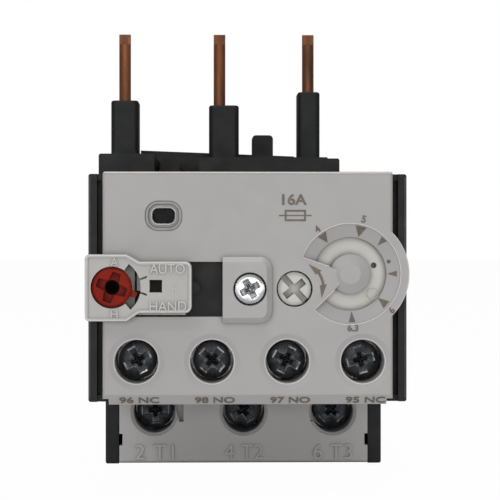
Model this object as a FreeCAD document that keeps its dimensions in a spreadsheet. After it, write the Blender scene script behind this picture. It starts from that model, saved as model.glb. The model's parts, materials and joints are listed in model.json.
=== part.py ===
"""Thermal overload relay, plug-on type, 45 mm wide: a parametric FreeCAD macro.

X is the width, Y the depth (the front face looks towards -Y) and Z the height.
The origin lies on the floor under the middle of the whole relay.
"""
import FreeCAD, Part
import math
import os
import re
import Sketcher

Vector = FreeCAD.Vector

# ---------------------------------------------------------------- driving sizes
# Each value is a cell of the spreadsheet; "depth" is measured back from the cover face. A text that
# starts with an equals sign is a formula, for a size that follows others by a clearance.
sizes = {
    # outer case
    "bodyWidth": 45.0,
    "bodyDepth": 70.0,
    "caseWall": 1.8,
    "caseEdgeDepth": 1.2,
    "sideGrooveDepth": 3.0,
    "sideGrooveWidth": 0.85,
    "frontTop": 45.6,
    "frontLow": 13.4,
    "deckFront": 20.0,
    "deckTop": 48.95,
    "leftDeckTop": 49.65,
    "rearDeckTop": 50.6,
    "deckRight": 14.5,
    "recessLeft": -14.0,
    "recessRight": -7.1,
    "recessBack": 44.0,
    "wallDepth": 52.0,
    "wallTop": 52.2,
    "lowerEdgeDepth": 35.0,
    "chamberBack": 34.0,
    "rearChamberFront": 36.2,
    "ribThickness": 1.2,
    "ribTop": 38.4,
    "fitGap": 0.15,
    # front cover
    "coverInset": 2.05,
    "coverWidth": "=bodyWidth - 2 * coverInset",
    "coverTop": 45.9,
    "coverLow": 13.05,
    "coverThickness": 1.6,
    "skirtDepth": 5.0,
    "skirtWall": 1.0,
    "bevelHeight": 1.45,
    "bevelDepth": 1.1,
    # conductors and cages of the terminals
    "cageGap": 0.2,
    "threadGap": 0.1,
    "auxTravel": 2.0,
    "mainTravel": 2.4,
    "auxRailDepth": 11.6,
    "auxRailThickness": 1.0,
    "auxRailWidth": 4.2,
    "auxRailLow": 15.6,
    "auxCageWidth": 6.6,
    "auxCageSide": 0.9,
    "auxCageBar": 1.2,
    "auxCageLow": 16.2,
    "auxCageTop": 22.0,
    "contactTop": 23.7,
    "contactThickness": 1.0,
    "contactBack": 23.5,
    "mainRailDepth": 46.4,
    "mainRailThickness": 1.4,
    "mainCageWidth": 10.0,
    "mainCageSide": 1.1,
    "mainCageBar": 1.4,
    "mainCageLow": 4.6,
    "mainCageTop": 12.4,
    "loadBarWidth": 7.2,
    "loadBarLow": 4.0,
    "loadBarTop": 14.4,
    "mainEntryWidth": 7.0,
    "mainEntryDeep": 6.0,
    "mainEntryFront": "=mainRailDepth",
    "mainEntryBack": "=mainEntryFront + mainEntryDeep",
    "auxEntryWidth": 4.8,
    "auxEntryLead": 0.8,
    "auxEntryDeep": 5.2,
    "auxEntryFront": "=auxRailDepth - auxEntryLead",
    "auxEntryBack": "=auxEntryFront + auxEntryDeep",
    # auxiliary terminals
    "auxMargin": 4.505,
    "auxPitch": "=(coverWidth - 2 * auxMargin) / 3",
    "auxShift": 0.25,
    "auxHeight": 19.15,
    "auxBore": 3.07,
    "auxSink": 3.95,
    "auxSinkDepth": 0.3,
    "auxTubeWall": 0.7,
    "auxTubeGap": 0.8,
    "auxTubeEnd": "=auxRailDepth - cageGap - auxTravel - auxCageBar - auxTubeGap",
    "auxHeadRadius": 2.7,
    "auxHeadHeight": 2.4,
    "auxHeadRoom": 1.4,
    "auxHeadDepth": "=auxTubeEnd - auxHeadRoom - auxHeadHeight",
    "auxShankRadius": 1.75,
    # main terminals
    "phaseMargin": 8.0,
    "phasePitch": "=bodyWidth / 2 - phaseMargin",
    "mainHeight": 8.5,
    "mainBore": 3.42,
    "mainTubeWall": 1.0,
    "mainTubeGap": 0.4,
    "mainTubeEnd": "=mainRailDepth - cageGap - mainTravel - mainCageBar - mainTubeGap",
    "mainHeadRadius": 3.0,
    "mainHeadHeight": 2.8,
    "mainHeadRoom": 2.0,
    "mainHeadDepth": "=mainTubeEnd - mainHeadRoom - mainHeadHeight",
    "mainShankRadius": 2.0,
    # terminal cover
    "lowerFace": 34.0,
    "lowerCoverInset": 0.25,
    "lowerCoverWidth": "=coverWidth - 2 * lowerCoverInset",
    "lowerCoverThickness": 2.0,
    "lowerCoverLow": 0.2,
    # setting dial and its adjuster
    "dialMargin": 8.08,
    "dialX": "=bodyWidth / 2 - dialMargin",
    "dialZ": 31.47,
    "collarRadius": 8.35,
    "ringRadius": 7.15,
    "ringStep": 0.12,
    "ringDepth": 0.75,
    "discOpening": 5.2,
    "discRadius": 5.45,
    "discDepth": 1.75,
    "discThickness": 1.2,
    "hubRadius": 2.8,
    "hubTopRadius": 1.45,
    "hubRise": 0.25,
    "hubFall": 0.4,
    "adjusterReach": 7.85,
    "adjusterX": "=dialX - adjusterReach",
    "adjusterZ": 29.38,
    "adjusterRadius": 2.35,
    "adjusterGap": 0.2,
    "adjusterDepth": 0.9,
    "gearTeeth": 18,
    "pinionTeeth": 10,
    "gearDepth": 3.3,
    "gearThickness": 1.5,
    "toothBacklash": 0.14,
    # screw block and window
    "coverScrewReach": 6.32,
    "coverScrewX": "=adjusterX - coverScrewReach",
    "blockLeftSide": 3.81,
    "blockRightSide": 3.1,
    "windowRight": "=coverScrewX - blockLeftSide",
    "windowTop": 33.2,
    "windowLow": 25.45,
    "blockRight": "=coverScrewX + blockRightSide",
    "blockTop": 33.9,
    "blockLow": 24.6,
    "blockRise": 1.2,
    "coverScrewZ": 29.38,
    "coverScrewRadius": 2.2,
    # reset unit
    "knobMargin": 3.55,
    "knobX": "=knobMargin - bodyWidth / 2",
    "windowReach": 3.05,
    "windowLeft": "=knobX + windowReach",
    "knobZ": 29.65,
    "knobRadius": 2.75,
    "knobOpening": 2.92,
    "bezelRise": 3.0,
    "bezelOverhang": 0.17,
    "shoulderReach": 2.05,
    "neckReach": 3.8,
    "tongueShare": 0.628128,
    "bezelLeft": "=-(bodyWidth / 2 + bezelOverhang)",
    "bezelShoulder": "=knobX + shoulderReach",
    "bezelNeck": "=knobX + neckReach",
    "bezelRight": "=bezelNeck + (windowRight - bezelNeck) * tongueShare",
    "bezelTop": 34.25,
    "bezelLow": 24.95,
    "bezelNarrowTop": 33.25,
    "bezelNarrowLow": 26.1,
    "stemRadius": 1.0,
    "resetTravel": 1.2,
    # trip indicator
    "tripX": -11.87,
    "tripZ": 39.66,
    "tripWidth": 5.2,
    "tripHeight": 4.2,
    "tripCorner": 1.85,
    # plug pins
    "pinRadius": 1.0,
    "pinDepth": 48.0,
    "pinMargin": 2.4,
    "pinLeftX": "=pinMargin - bodyWidth / 2",
    "pinMiddleX": -3.9,
    "pinRightX": 11.3,
    "pinTop": 71.8,
    "sleeveLeftTop": 60.3,
    "sleeveMiddleTop": 59.5,
    "sleeveRightTop": 61.8,
    # smaller features of the case
    "cornerRound": 0.35,
    "seatSink": 0.3,
    "footOuter": 1.5,
    "footInner": 2.2,
    "footLeft": "=pinLeftX - footOuter",
    "footRight": "=pinLeftX + footInner",
    "rimGap": 0.3,
    "rimLeft": "=footRight + rimGap",
    "rimRight": 9.1,
    "rimThickness": 2.0,
    "rimFall": 1.0,
    "footDepth": 5.0,
    "footRise": 0.7,
    "lugLeft": 1.9,
    "lugRight": 5.6,
    "lugTop": 55.2,
    "lugRound": 0.7,
    "lugFront": 56.0,
    "lugDepth": 3.5,
    "stopInset": 2.15,
    "stopRadius": 1.6,
    "stopDepth": 16.0,
    "leverWindowWidth": 32.0,
    "leverWindowLow": 34.5,
    "leverWindowTop": 41.8,
    "ribFront": 37.2,
    "rearCoverThickness": 1.8,
    "notchWidth": 4.0,
    "notchHeight": 1.0,
    "ledgeWidth": 1.2,
    "pinFoot": 38.0,
    "pinWayGap": 0.2,
    # smaller features of the front cover
    "cornerStep": 0.85,
    "coverCorner": 0.35,
    "coverTopEdge": 0.5,
    "skirtInset": 0.1,
    "blockRound": 1.7,
    "blockBevel": 0.75,
    "coverScrewSeat": 0.6,
    "coverShankRadius": 1.25,
    "gearRoomRadius": 6.5,
    "pivotRadius": 0.8,
    "pivotLength": 1.3,
    "runGap": 0.05,
    "stemWayGap": 0.3,
    "funnelWall": 0.7,
    "funnelEnd": 4.5,
    "lensFront": 0.2,
    "lensRim": 0.42,
    "lensStep": 0.6,
    "lensGroove": 0.35,
    "lensLip": 0.22,
    "lensLipDepth": 0.35,
    # smaller features of the terminal cover
    "lowerNotchZ": 4.0,
    "lowerNotchHeight": 1.9,
    "lowerNotchWidth": 0.5,
    "lowerGapZ": 6.9,
    "lowerGapDepth": 1.5,
    # mechanism frame
    "frameDepth": 15.0,
    "frameThickness": 1.4,
    "frameLow": 24.0,
    "frameTop": 43.6,
    # smaller features of the reset unit
    "guideThickness": 1.2,
    "studRadius": 0.9,
    "bezelRound": 0.9,
    "bezelCorner": 0.7,
    "bezelEdge": 0.2,
    "bezelRim": 0.45,
    "bezelSink": 0.15,
    "tongueGap": 0.3,
    "pointerWindowRadius": 4.02,
    "resetHoleReach": 6.1,
    "resetHoleX": "=knobX + resetHoleReach",
    "resetHoleSize": 1.75,
    "resetHoleShift": 0.18,
    "slitHigh": 1.05,
    "slitLow": 0.6,
    "slitRise": 0.42,
    "slitWidth": 0.3,
    "slitLength": 1.2,
    "slitDepth": 1.6,
    "stemFront": 1.9,
    "stemBack": 16.35,
    "collarDepth": 8.5,
    "stemCollarRadius": 1.5,
    "stemCollarLength": 1.0,
    "springSeat": 0.1,
    "springWire": 0.2,
    "resetSpringRadius": 1.3,
    "knobFront": 3.0,
    "knobEdge": 0.3,
    "pointerReach": 0.85,
    "armNearWidth": 1.9,
    "armFarWidth": 1.15,
    "armReach": 2.15,
    "armDepth": 1.1,
    "stemSocketRadius": 0.7,
    "stemSocketDepth": 1.2,
    # smaller features of the setting dial
    "dialShaftRadius": 1.0,
    "dialShaftEnd": 16.8,
    "keyGap": 0.02,
    "indexOffset": 3.66,
    "indexRadius": 0.42,
    "camRadius": 2.6,
    "camRise": 1.2,
    "camThickness": 2.0,
    "camDepth": 10.0,
    "adjusterHead": 2.2,
    "adjusterEnd": 16.8,
    "longSlotWidth": 0.9,
    "shortSlotWidth": 1.03,
    "shortSlotLength": 3.5,
    "slotDepth": 1.5,
    # cover screw
    "coverScrewHead": 0.9,
    "coverScrewEnd": 14.0,
    "bossRadius": 2.2,
    "bossFront": 2.0,
    # trip flag
    "flagWidth": 1.4,
    "flagLow": 37.8,
    "flagHeight": 1.4,
    "tripTravel": 1.2,
    # plug pins and sleeves
    "facetDepth": 0.35,
    "pinRootRadius": 1.3,
    "pinShoulder": 0.15,
    "pinFacet": 1.7,
    "leadReach": 0.6,
    "leadWidth": 2.2,
    "leadThickness": 1.0,
    "sleeveDepth": 5.6,
    "sleeveCorner": 0.9,
    "sleeveTopRound": 0.4,
    "sleeveLeftWidth": 4.7,
    "sleeveLeftShift": 0.1,
    "sleeveMiddleWidth": 5.1,
    "sleeveMiddleShift": 0.75,
    "sleeveRightWidth": 3.8,
    "sleeveRightShift": 0.0,
    # thermal system
    "stripShift": 2.0,
    "stripThickness": 0.8,
    "stripFront": 52.6,
    "stripBack": 57.4,
    "stripGap": 0.2,
    "stripTop": 40.0,
    "heaterGap": 0.3,
    "heaterWire": 0.6,
    "heaterLow": 17.0,
    "heaterPitch": 2.6,
    "slideMargin": 3.5,
    "slideLength": "=bodyWidth - 2 * slideMargin",
    "slideLow": 38.6,
    "slideHeight": 1.4,
    "slideFront": 50.4,
    "slideDepth": 1.6,
    "slideSideGap": 0.4,
    "fingerGap": 0.2,
    "driverFront": 43.0,
    # trip mechanism
    "leverX": 8.0,
    "leverZ": 31.0,
    "leverFront": 18.2,
    "leverBack": 21.0,
    "leverHubRadius": 1.7,
    "leverTabHalf": 0.5,
    "pivotPinRadius": 0.75,
    "armHeight": 1.6,
    "carrierX": 0.25,
    "carrierWidth": 3.6,
    "carrierFront": 17.4,
    "carrierBack": 23.2,
    "carrierLow": 17.8,
    "carrierTop": 36.5,
    "contactGap": 0.05,
    "bridgeFront": 19.4,
    "bridgeBack": 21.6,
    "bridgeThickness": 0.8,
    "openBridgeLow": 20.5,
    "flagLinkDepth": 17.4,
    "flagLinkThickness": 1.0,
    "flagFront": 5.2,
}

doc = FreeCAD.newDocument("thermal_overload_relay")
sheet = doc.addObject("Spreadsheet::Sheet", "sizes")
for row, (alias, number) in enumerate(sizes.items(), start=1):
    sheet.set(f"A{row}", alias)
    sheet.set(f"B{row}", str(number))
    sheet.setAlias(f"B{row}", alias)
doc.recompute()

# ---------------------------------------------------------------- small helpers
pieces = []      # every finished sub-part, in the order in which it is made
originDepth = "(bodyDepth - bezelRise) / 2"      # depth of the origin behind the cover face


def bound(text):
    """The expression with each size written as a reference to its cell."""
    return re.sub(r"[A-Za-z]\w*", lambda word: "sizes." + word.group() if word.group() in sizes
                  else word.group(), str(text))


def value(text):
    """The number that an expression of sizes gives."""
    answer = sheet.evalExpression(str(text))
    return float(getattr(answer, "Value", answer))


def bind(item, path, text):
    """Tie one property of an object to the sheet."""
    item.setExpression(path, bound(text))


def newBody(label, x="0", z="0", depth="0"):
    """A body seen from the front: its x is X, its y is Z and its z looks out of the front."""
    body = doc.addObject("PartDesign::Body", label)
    body.Label = label
    body.Placement.Rotation = FreeCAD.Rotation(Vector(1, 0, 0), 90)
    bind(body, "Placement.Base.x", x)
    bind(body, "Placement.Base.y", f"({depth}) - {originDepth}")
    bind(body, "Placement.Base.z", z)
    pieces.append(body)
    return body


def newUprightBody(label, x="0", depth="0", z="0"):
    """A body that stands upright: its own axes are those of the whole part."""
    body = newBody(label, x, z, depth)
    body.Placement.Rotation = FreeCAD.Rotation()
    return body


def newSketch(body, name, plane="XY_Plane", offset="0"):
    """A sketch on one of the body's origin planes, moved along the plane's normal."""
    sketch = body.newObject("Sketcher::SketchObject", body.Label + "_" + name)
    feature = [item for item in body.Origin.OriginFeatures if item.Role == plane][0]
    sketch.AttachmentSupport = [(feature, "")]
    sketch.MapMode = "FlatFace"
    bind(sketch, "AttachmentOffset.Base.z", offset)
    return sketch


def place(sketch, item, end, x, y):
    """Hold one point of a sketch at x, y from the sketch's origin."""
    for kind, text in (("DistanceX", x), ("DistanceY", y)):
        number = sketch.addConstraint(Sketcher.Constraint(kind, -1, 1, item, end, value(text)))
        bind(sketch, f"Constraints[{number}]", text)


def drawCircle(sketch, x, y, radius):
    """A full circle."""
    circle = Part.Circle(Vector(value(x), value(y), 0), Vector(0, 0, 1), value(radius))
    item = sketch.addGeometry(circle)
    place(sketch, item, 3, x, y)
    number = sketch.addConstraint(Sketcher.Constraint("Radius", item, value(radius)))
    bind(sketch, f"Constraints[{number}]", radius)


def drawOutline(sketch, corners):
    """A closed outline. A corner is (x, y) before a straight edge and
    (x, y, centreX, centreY, turn) before an arc, turn being 1 for anticlockwise."""
    items = []
    for index, corner in enumerate(corners):
        following = corners[(index + 1) % len(corners)]
        start = Vector(value(corner[0]), value(corner[1]), 0)
        end = Vector(value(following[0]), value(following[1]), 0)
        if len(corner) == 2:
            items.append((sketch.addGeometry(Part.LineSegment(start, end)), 1, 2))
            continue
        centre = Vector(value(corner[2]), value(corner[3]), 0)
        radius = (start - centre).Length
        first, last = (start, end) if corner[4] > 0 else (end, start)
        angles = [math.atan2(point.y - centre.y, point.x - centre.x) for point in (first, last)]
        circle = Part.Circle(centre, Vector(0, 0, 1), radius)
        item = sketch.addGeometry(Part.ArcOfCircle(circle, angles[0], angles[1]))
        ends = (1, 2) if corner[4] > 0 else (2, 1)
        items.append((item,) + ends)
    for index, corner in enumerate(corners):
        item, begin, finish = items[index]
        nextItem, nextBegin, _ = items[(index + 1) % len(items)]
        following = corners[(index + 1) % len(corners)]
        sketch.addConstraint(Sketcher.Constraint("Coincident", item, finish, nextItem, nextBegin))
        place(sketch, item, begin, corner[0], corner[1])
        if len(corner) == 5:
            chord = [abs(value(f"{following[axis]} - ({corner[axis]})")) for axis in (0, 1)]
            kind, text = ("DistanceX", corner[2]) if chord[1] > chord[0] else ("DistanceY", corner[3])
            number = sketch.addConstraint(Sketcher.Constraint(kind, -1, 1, item, 3, value(text)))
            bind(sketch, f"Constraints[{number}]", text)


def drawRectangle(sketch, left, low, right, top):
    """A rectangle between two corners."""
    drawOutline(sketch, [(left, low), (right, low), (right, top), (left, top)])


def addPad(body, sketch, length):
    """Material from the sketch, along its normal."""
    pad = body.newObject("PartDesign::Pad", sketch.Name + "_pad")
    pad.Profile = sketch
    bind(pad, "Length", length)
    doc.recompute()
    return pad


def addPocket(body, sketch, length):
    """A recess from the sketch, against its normal."""
    before = body.Shape.Volume
    pocket = body.newObject("PartDesign::Pocket", sketch.Name + "_pocket")
    pocket.Profile = sketch
    bind(pocket, "Length", length)
    doc.recompute()
    if not body.Shape.Volume < before:
        raise RuntimeError(sketch.Name + " cuts nothing")
    return pocket


def addTurned(body, corners, groove=False):
    """A form of revolution about the body's z axis; corners are (radius, height)."""
    sketch = newSketch(body, f"profile{len(body.Group)}", "XZ_Plane")
    drawOutline(sketch, corners)
    kind = "PartDesign::Groove" if groove else "PartDesign::Revolution"
    turned = body.newObject(kind, sketch.Name + "_turned")
    turned.Profile = sketch
    turned.ReferenceAxis = (sketch, ["V_Axis"])
    turned.Angle = 360
    doc.recompute()
    return turned


def repeatAround(body, feature, count):
    """The last feature, repeated evenly about the body's z axis."""
    pattern = body.newObject("PartDesign::PolarPattern", feature.Name + "_pattern")
    pattern.Originals = [feature]
    pattern.Axis = (feature.Profile[0], ["N_Axis"])
    pattern.Angle = 360
    bind(pattern, "Occurrences", count)
    body.Tip = pattern
    doc.recompute()
    return pattern


def addFillet(body, radius, chosen, kind="PartDesign::Fillet"):
    """Round the edges of the body's tip for which chosen(edge) is true (points in the body's frame)."""
    base = body.Tip
    names = [f"Edge{number}" for number, edge in enumerate(base.Shape.Edges, start=1) if chosen(edge)]
    if not names:
        raise RuntimeError(body.Label + ": no edge to round")
    fillet = body.newObject(kind, f"{body.Label}_edge{len(body.Group)}")
    fillet.Base = (base, names)
    bind(fillet, "Radius" if kind.endswith("Fillet") else "Size", radius)
    doc.recompute()
    return fillet


def curveOf(edge):
    """The edge's curve, or None for a curve of a kind that has no name in Part."""
    try:
        return edge.Curve
    except TypeError:
        return None


def isRound(edge, radius):
    """True for an arc or circle of the given radius."""
    curve = curveOf(edge)
    return isinstance(curve, Part.Circle) and abs(curve.Radius - value(radius)) < 1e-6


def isAlong(edge, axis):
    """True for a straight edge along an axis of the body's frame (0, 1 or 2)."""
    if not isinstance(curveOf(edge), Part.Line):
        return False
    direction = edge.tangentAt(edge.FirstParameter)
    return abs(abs(tuple(direction)[axis]) - 1) < 1e-6


def middleOf(edge):
    """The middle point of an edge."""
    return edge.valueAt((edge.FirstParameter + edge.LastParameter) / 2)


def newBlock(name, left, right, front, back, low, high):
    """A rectangular block between named limits, in the axes of the whole part."""
    block = doc.addObject("Part::Box", name)
    bind(block, "Length", f"({right}) - ({left})")
    bind(block, "Width", f"({back}) - ({front})")
    bind(block, "Height", f"({high}) - ({low})")
    bind(block, "Placement.Base.x", left)
    bind(block, "Placement.Base.y", f"({front}) - {originDepth}")
    bind(block, "Placement.Base.z", low)
    return block


def newRod(name, radius, x, z, front, back):
    """A round rod along Y."""
    rod = doc.addObject("Part::Cylinder", name)
    rod.Placement.Rotation = FreeCAD.Rotation(Vector(1, 0, 0), -90)
    bind(rod, "Radius", radius)
    bind(rod, "Height", f"({back}) - ({front})")
    bind(rod, "Placement.Base.x", x)
    bind(rod, "Placement.Base.y", f"({front}) - {originDepth}")
    bind(rod, "Placement.Base.z", z)
    return rod


def joined(label, solids, keep=True):
    """Several solids as one."""
    union = doc.addObject("Part::MultiFuse", label)
    union.Shapes = solids
    union.Refine = True
    union.Label = label
    if keep:
        pieces.append(union)
    doc.recompute()
    return union


def cutFrom(label, solid, tool, keep=True):
    """One solid less another."""
    remainder = doc.addObject("Part::Cut", label)
    remainder.Base = solid
    remainder.Tool = tool
    remainder.Label = label
    if keep:
        pieces.append(remainder)
    doc.recompute()
    return remainder


def single(label, solid):
    """A plain solid that is a sub-part by itself."""
    solid.Label = label
    pieces.append(solid)
    return solid


def auxX(place):
    """X of auxiliary terminal 0 to 3, from the left."""
    return f"(auxShift + {place - 1.5} * auxPitch)"


def phaseX(phase):
    """X of phase 0 to 2, from the left."""
    return f"({phase - 1} * phasePitch)"


def addFrontPad(body, name, front, back, draw):
    """Material between two depths; draw(sketch) gives its outline seen from the front."""
    sketch = newSketch(body, name, "XY_Plane", f"-({back})")
    draw(sketch)
    return addPad(body, sketch, f"({back}) - ({front})")


def addFrontPocket(body, name, front, back, draw):
    """A recess between two depths."""
    sketch = newSketch(body, name, "XY_Plane", f"-({front})")
    draw(sketch)
    return addPocket(body, sketch, f"({back}) - ({front})")


def addRisingPocket(body, name, low, high, draw):
    """A recess between two heights; the sketch's y is minus the depth."""
    sketch = newSketch(body, name, "XZ_Plane", f"-({low})")
    draw(sketch)
    return addPocket(body, sketch, f"({high}) - ({low})")


def addRisingPad(body, name, low, high, draw):
    """Material between two heights; the sketch's y is minus the depth."""
    sketch = newSketch(body, name, "XZ_Plane", f"-({high})")
    draw(sketch)
    return addPad(body, sketch, f"({high}) - ({low})")


# ---------------------------------------------------------------- case
def addCaseMass(body):
    """The three steps of the case, from the front box to the deep rear box."""
    side = "bodyWidth / 2"
    addFrontPad(body, "frontBox", "caseEdgeDepth", "deckFront", lambda sketch: drawRectangle(
        sketch, "-" + side, "frontLow", side, "frontTop"))
    addFrontPad(body, "middleBox", "deckFront", "lowerEdgeDepth", lambda sketch: drawOutline(sketch, [
        ("-" + side, "frontLow"), (side, "frontLow"), (side, "frontTop"),
        ("deckRight", "frontTop"), ("deckRight", "deckTop"), ("-" + side, "deckTop")]))
    addFrontPad(body, "rearBox", "lowerEdgeDepth", "bodyDepth", lambda sketch: drawOutline(sketch, [
        ("-" + side, "0"), (side, "0"), (side, "frontTop"),
        ("deckRight", "frontTop"), ("deckRight", "deckTop"), ("-" + side, "deckTop")]))
    addFrontPad(body, "leftDeck", "deckFront", "recessBack + seatSink", lambda sketch: drawRectangle(
        sketch, "-" + side, "frontTop", "recessLeft", "leftDeckTop"))
    addFrontPad(body, "rearDeck", "recessBack", "bodyDepth", lambda sketch: drawRectangle(
        sketch, "-" + side, "frontTop", "deckRight", "rearDeckTop"))
    addFillet(body, "cornerRound", lambda edge: isAlong(edge, 2) and (
        abs(abs(middleOf(edge).x) - value(side)) < 1e-6
        or abs(middleOf(edge).x - value("deckRight")) < 1e-6 and middleOf(edge).y > value("frontTop") + 1))


def addCaseTop(body):
    """What stands on the deck: a foot under the left sleeve, a rim, a locating lug and a stop."""
    addFrontPad(body, "rim", "wallDepth", "wallDepth + rimThickness", lambda sketch: drawOutline(sketch, [
        ("rimLeft", "rearDeckTop - seatSink"), ("rimRight", "rearDeckTop - seatSink"),
        ("rimRight", "wallTop - rimFall"), ("rimLeft", "wallTop")]))
    sleeveFront = "(pinDepth - sleeveDepth / 2)"
    addFrontPad(body, "foot", sleeveFront + " - footDepth", sleeveFront + " - fitGap", lambda sketch: drawRectangle(
        sketch, "footLeft", "leftDeckTop - seatSink", "footRight", "rearDeckTop + footRise"))
    addFrontPad(body, "lug", "lugFront", "lugFront + lugDepth", lambda sketch: drawOutline(sketch, [
        ("lugLeft", "rearDeckTop - seatSink"), ("lugRight", "rearDeckTop - seatSink"),
        ("lugRight", "lugTop - lugRound", "lugRight - lugRound", "lugTop - lugRound", 1),
        ("lugRight - lugRound", "lugTop"),
        ("lugLeft + lugRound", "lugTop", "lugLeft + lugRound", "lugTop - lugRound", 1),
        ("lugLeft", "lugTop - lugRound")]))
    addFrontPocket(body, "recess", "deckFront", "recessBack", lambda sketch: drawRectangle(
        sketch, "recessLeft", "frontTop", "recessRight", "deckTop + 1"))
    stopX = "recessLeft + stopInset"
    addFrontPad(body, "stop", "recessBack - stopDepth", "recessBack - 1", lambda sketch: drawOutline(sketch, [
        (f"{stopX} - stopRadius", "frontTop - seatSink"), (f"{stopX} + stopRadius", "frontTop - seatSink"),
        (f"{stopX} + stopRadius", "leftDeckTop - stopRadius", stopX, "leftDeckTop - stopRadius", 1),
        (f"{stopX} - stopRadius", "leftDeckTop - stopRadius")]))


def addCaseHollows(body):
    """The front chamber, the rear chamber, the seats of both covers and the ways between them."""
    inner = "(bodyWidth / 2 - caseWall)"
    shoulder = "(coverWidth / 2 + sideGrooveWidth)"
    addFrontPocket(body, "frontChamber", "caseEdgeDepth", "chamberBack", lambda sketch: drawRectangle(
        sketch, "-" + inner, "frontLow + caseWall", inner, "frontTop - caseWall"))
    addFrontPocket(body, "coverSeat", "caseEdgeDepth", "coverThickness + fitGap", lambda sketch: drawRectangle(
        sketch, "-" + shoulder, "frontLow - 1", shoulder, "frontTop + 1"))
    for name, sign in (("leftGroove", "-"), ("rightGroove", "")):
        edges = [sign + inner, sign + shoulder]
        left, right = (edges[1], edges[0]) if sign else (edges[0], edges[1])
        addFrontPocket(body, name, "caseEdgeDepth", "sideGrooveDepth", lambda sketch: drawRectangle(
            sketch, left, "frontLow + caseWall / 2", right, "frontTop - caseWall / 2"))
    addFrontPocket(body, "rearChamber", "rearChamberFront", "bodyDepth", lambda sketch: drawRectangle(
        sketch, "-" + inner, "caseWall", inner, "frontTop - caseWall"))
    seat = "(lowerCoverWidth / 2 + fitGap)"
    addFrontPocket(body, "terminalSeat", "lowerEdgeDepth", "rearChamberFront", lambda sketch: drawRectangle(
        sketch, "-" + seat, "-1", seat, "frontLow"))
    addFrontPocket(body, "leverWindow", "chamberBack", "rearChamberFront", lambda sketch: drawRectangle(
        sketch, "-leverWindowWidth / 2", "leverWindowLow", "leverWindowWidth / 2", "leverWindowTop"))


def addCaseRibs(body):
    """Partitions between the three phases and ledges that the mechanism frame rests on."""
    for name, sign in (("leftRib", "-"), ("rightRib", "")):
        middle = f"{sign}phasePitch / 2"
        addFrontPad(body, name, "ribFront", "bodyDepth - rearCoverThickness - fitGap",
                    lambda sketch: drawRectangle(sketch, f"{middle} - ribThickness / 2", "caseWall - seatSink",
                                                 f"{middle} + ribThickness / 2", "ribTop"))
    for name, sign in (("leftLedge", "-"), ("rightLedge", "")):
        wall = f"{sign}(bodyWidth / 2 - caseWall)"
        edges = [f"{wall} - seatSink", f"{wall} + ledgeWidth"]
        if not sign:
            edges = [f"{wall} - ledgeWidth", f"{wall} + seatSink"]
        addFrontPad(body, name, "frameDepth + frameThickness + fitGap", "frameDepth + frameThickness + 2",
                    lambda sketch: drawRectangle(sketch, edges[0], "knobZ + 4", edges[1], "frameTop - 1"))


def addCaseWays(body):
    """Wire entries in both floors and the channels in which the three plug pins come down."""
    for phase in range(3):
        addRisingPocket(body, f"mainEntry{phase}", "-1", "caseWall + 1", lambda sketch: drawRectangle(
            sketch, f"{phaseX(phase)} - mainEntryWidth / 2", "-mainEntryBack",
            f"{phaseX(phase)} + mainEntryWidth / 2", "-mainEntryFront"))
    for place_ in range(4):
        addRisingPocket(body, f"auxEntry{place_}", "frontLow - 1", "frontLow + caseWall + 1",
                        lambda sketch: drawRectangle(
                            sketch, f"{auxX(place_)} - auxEntryWidth / 2", "-auxEntryBack",
                            f"{auxX(place_)} + auxEntryWidth / 2", "-auxEntryFront"))
    for name in ("Left", "Middle", "Right"):
        addRisingPocket(body, f"pinWay{name}", "pinFoot - fitGap", "rearDeckTop + 2", lambda sketch: drawCircle(
            sketch, f"pin{name}X", "-pinDepth", "pinRootRadius + pinWayGap"))


def makeBaseHousing():
    """Dark moulded case that carries everything else."""
    body = newBody("base_housing")
    addCaseMass(body)
    addCaseTop(body)
    addCaseHollows(body)
    addCaseRibs(body)
    addCaseWays(body)


def makeRearCover():
    """Plate that closes the rear chamber, with a locating lip."""
    body = newBody("rear_cover")
    half = "(bodyWidth / 2 - caseWall - fitGap)"
    low, top = "(caseWall + fitGap)", "(frontTop - caseWall - fitGap)"
    addFrontPad(body, "plate", "bodyDepth - rearCoverThickness", "bodyDepth", lambda sketch: drawRectangle(
        sketch, "-" + half, low, half, top))
    addFillet(body, "0.6", lambda edge: isAlong(edge, 2))
    for name, sign in (("leftNotch", "-"), ("rightNotch", "")):
        middle = f"{sign}bodyWidth / 5"
        addFrontPocket(body, name, "bodyDepth - rearCoverThickness - 1", "bodyDepth",
                       lambda sketch: drawRectangle(sketch, f"{middle} - notchWidth / 2", f"{top} - notchHeight",
                                                    f"{middle} + notchWidth / 2", f"{top} + 1"))


# ---------------------------------------------------------------- front cover
wedgeHigh = "160.8 deg"      # upper edge of the bridge that holds the dial's hub
wedgeLow = "224.9 deg"       # lower edge


def onDial(radius, angle):
    """A point at a radius and angle about the dial's centre."""
    return (f"dialX + ({radius}) * cos({angle})", f"dialZ + ({radius}) * sin({angle})")


# radius at which the hub's cone is level with the plate
hubMeet = "(hubTopRadius + (hubRadius - hubTopRadius) * hubRise / (hubRise + hubFall))"


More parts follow.
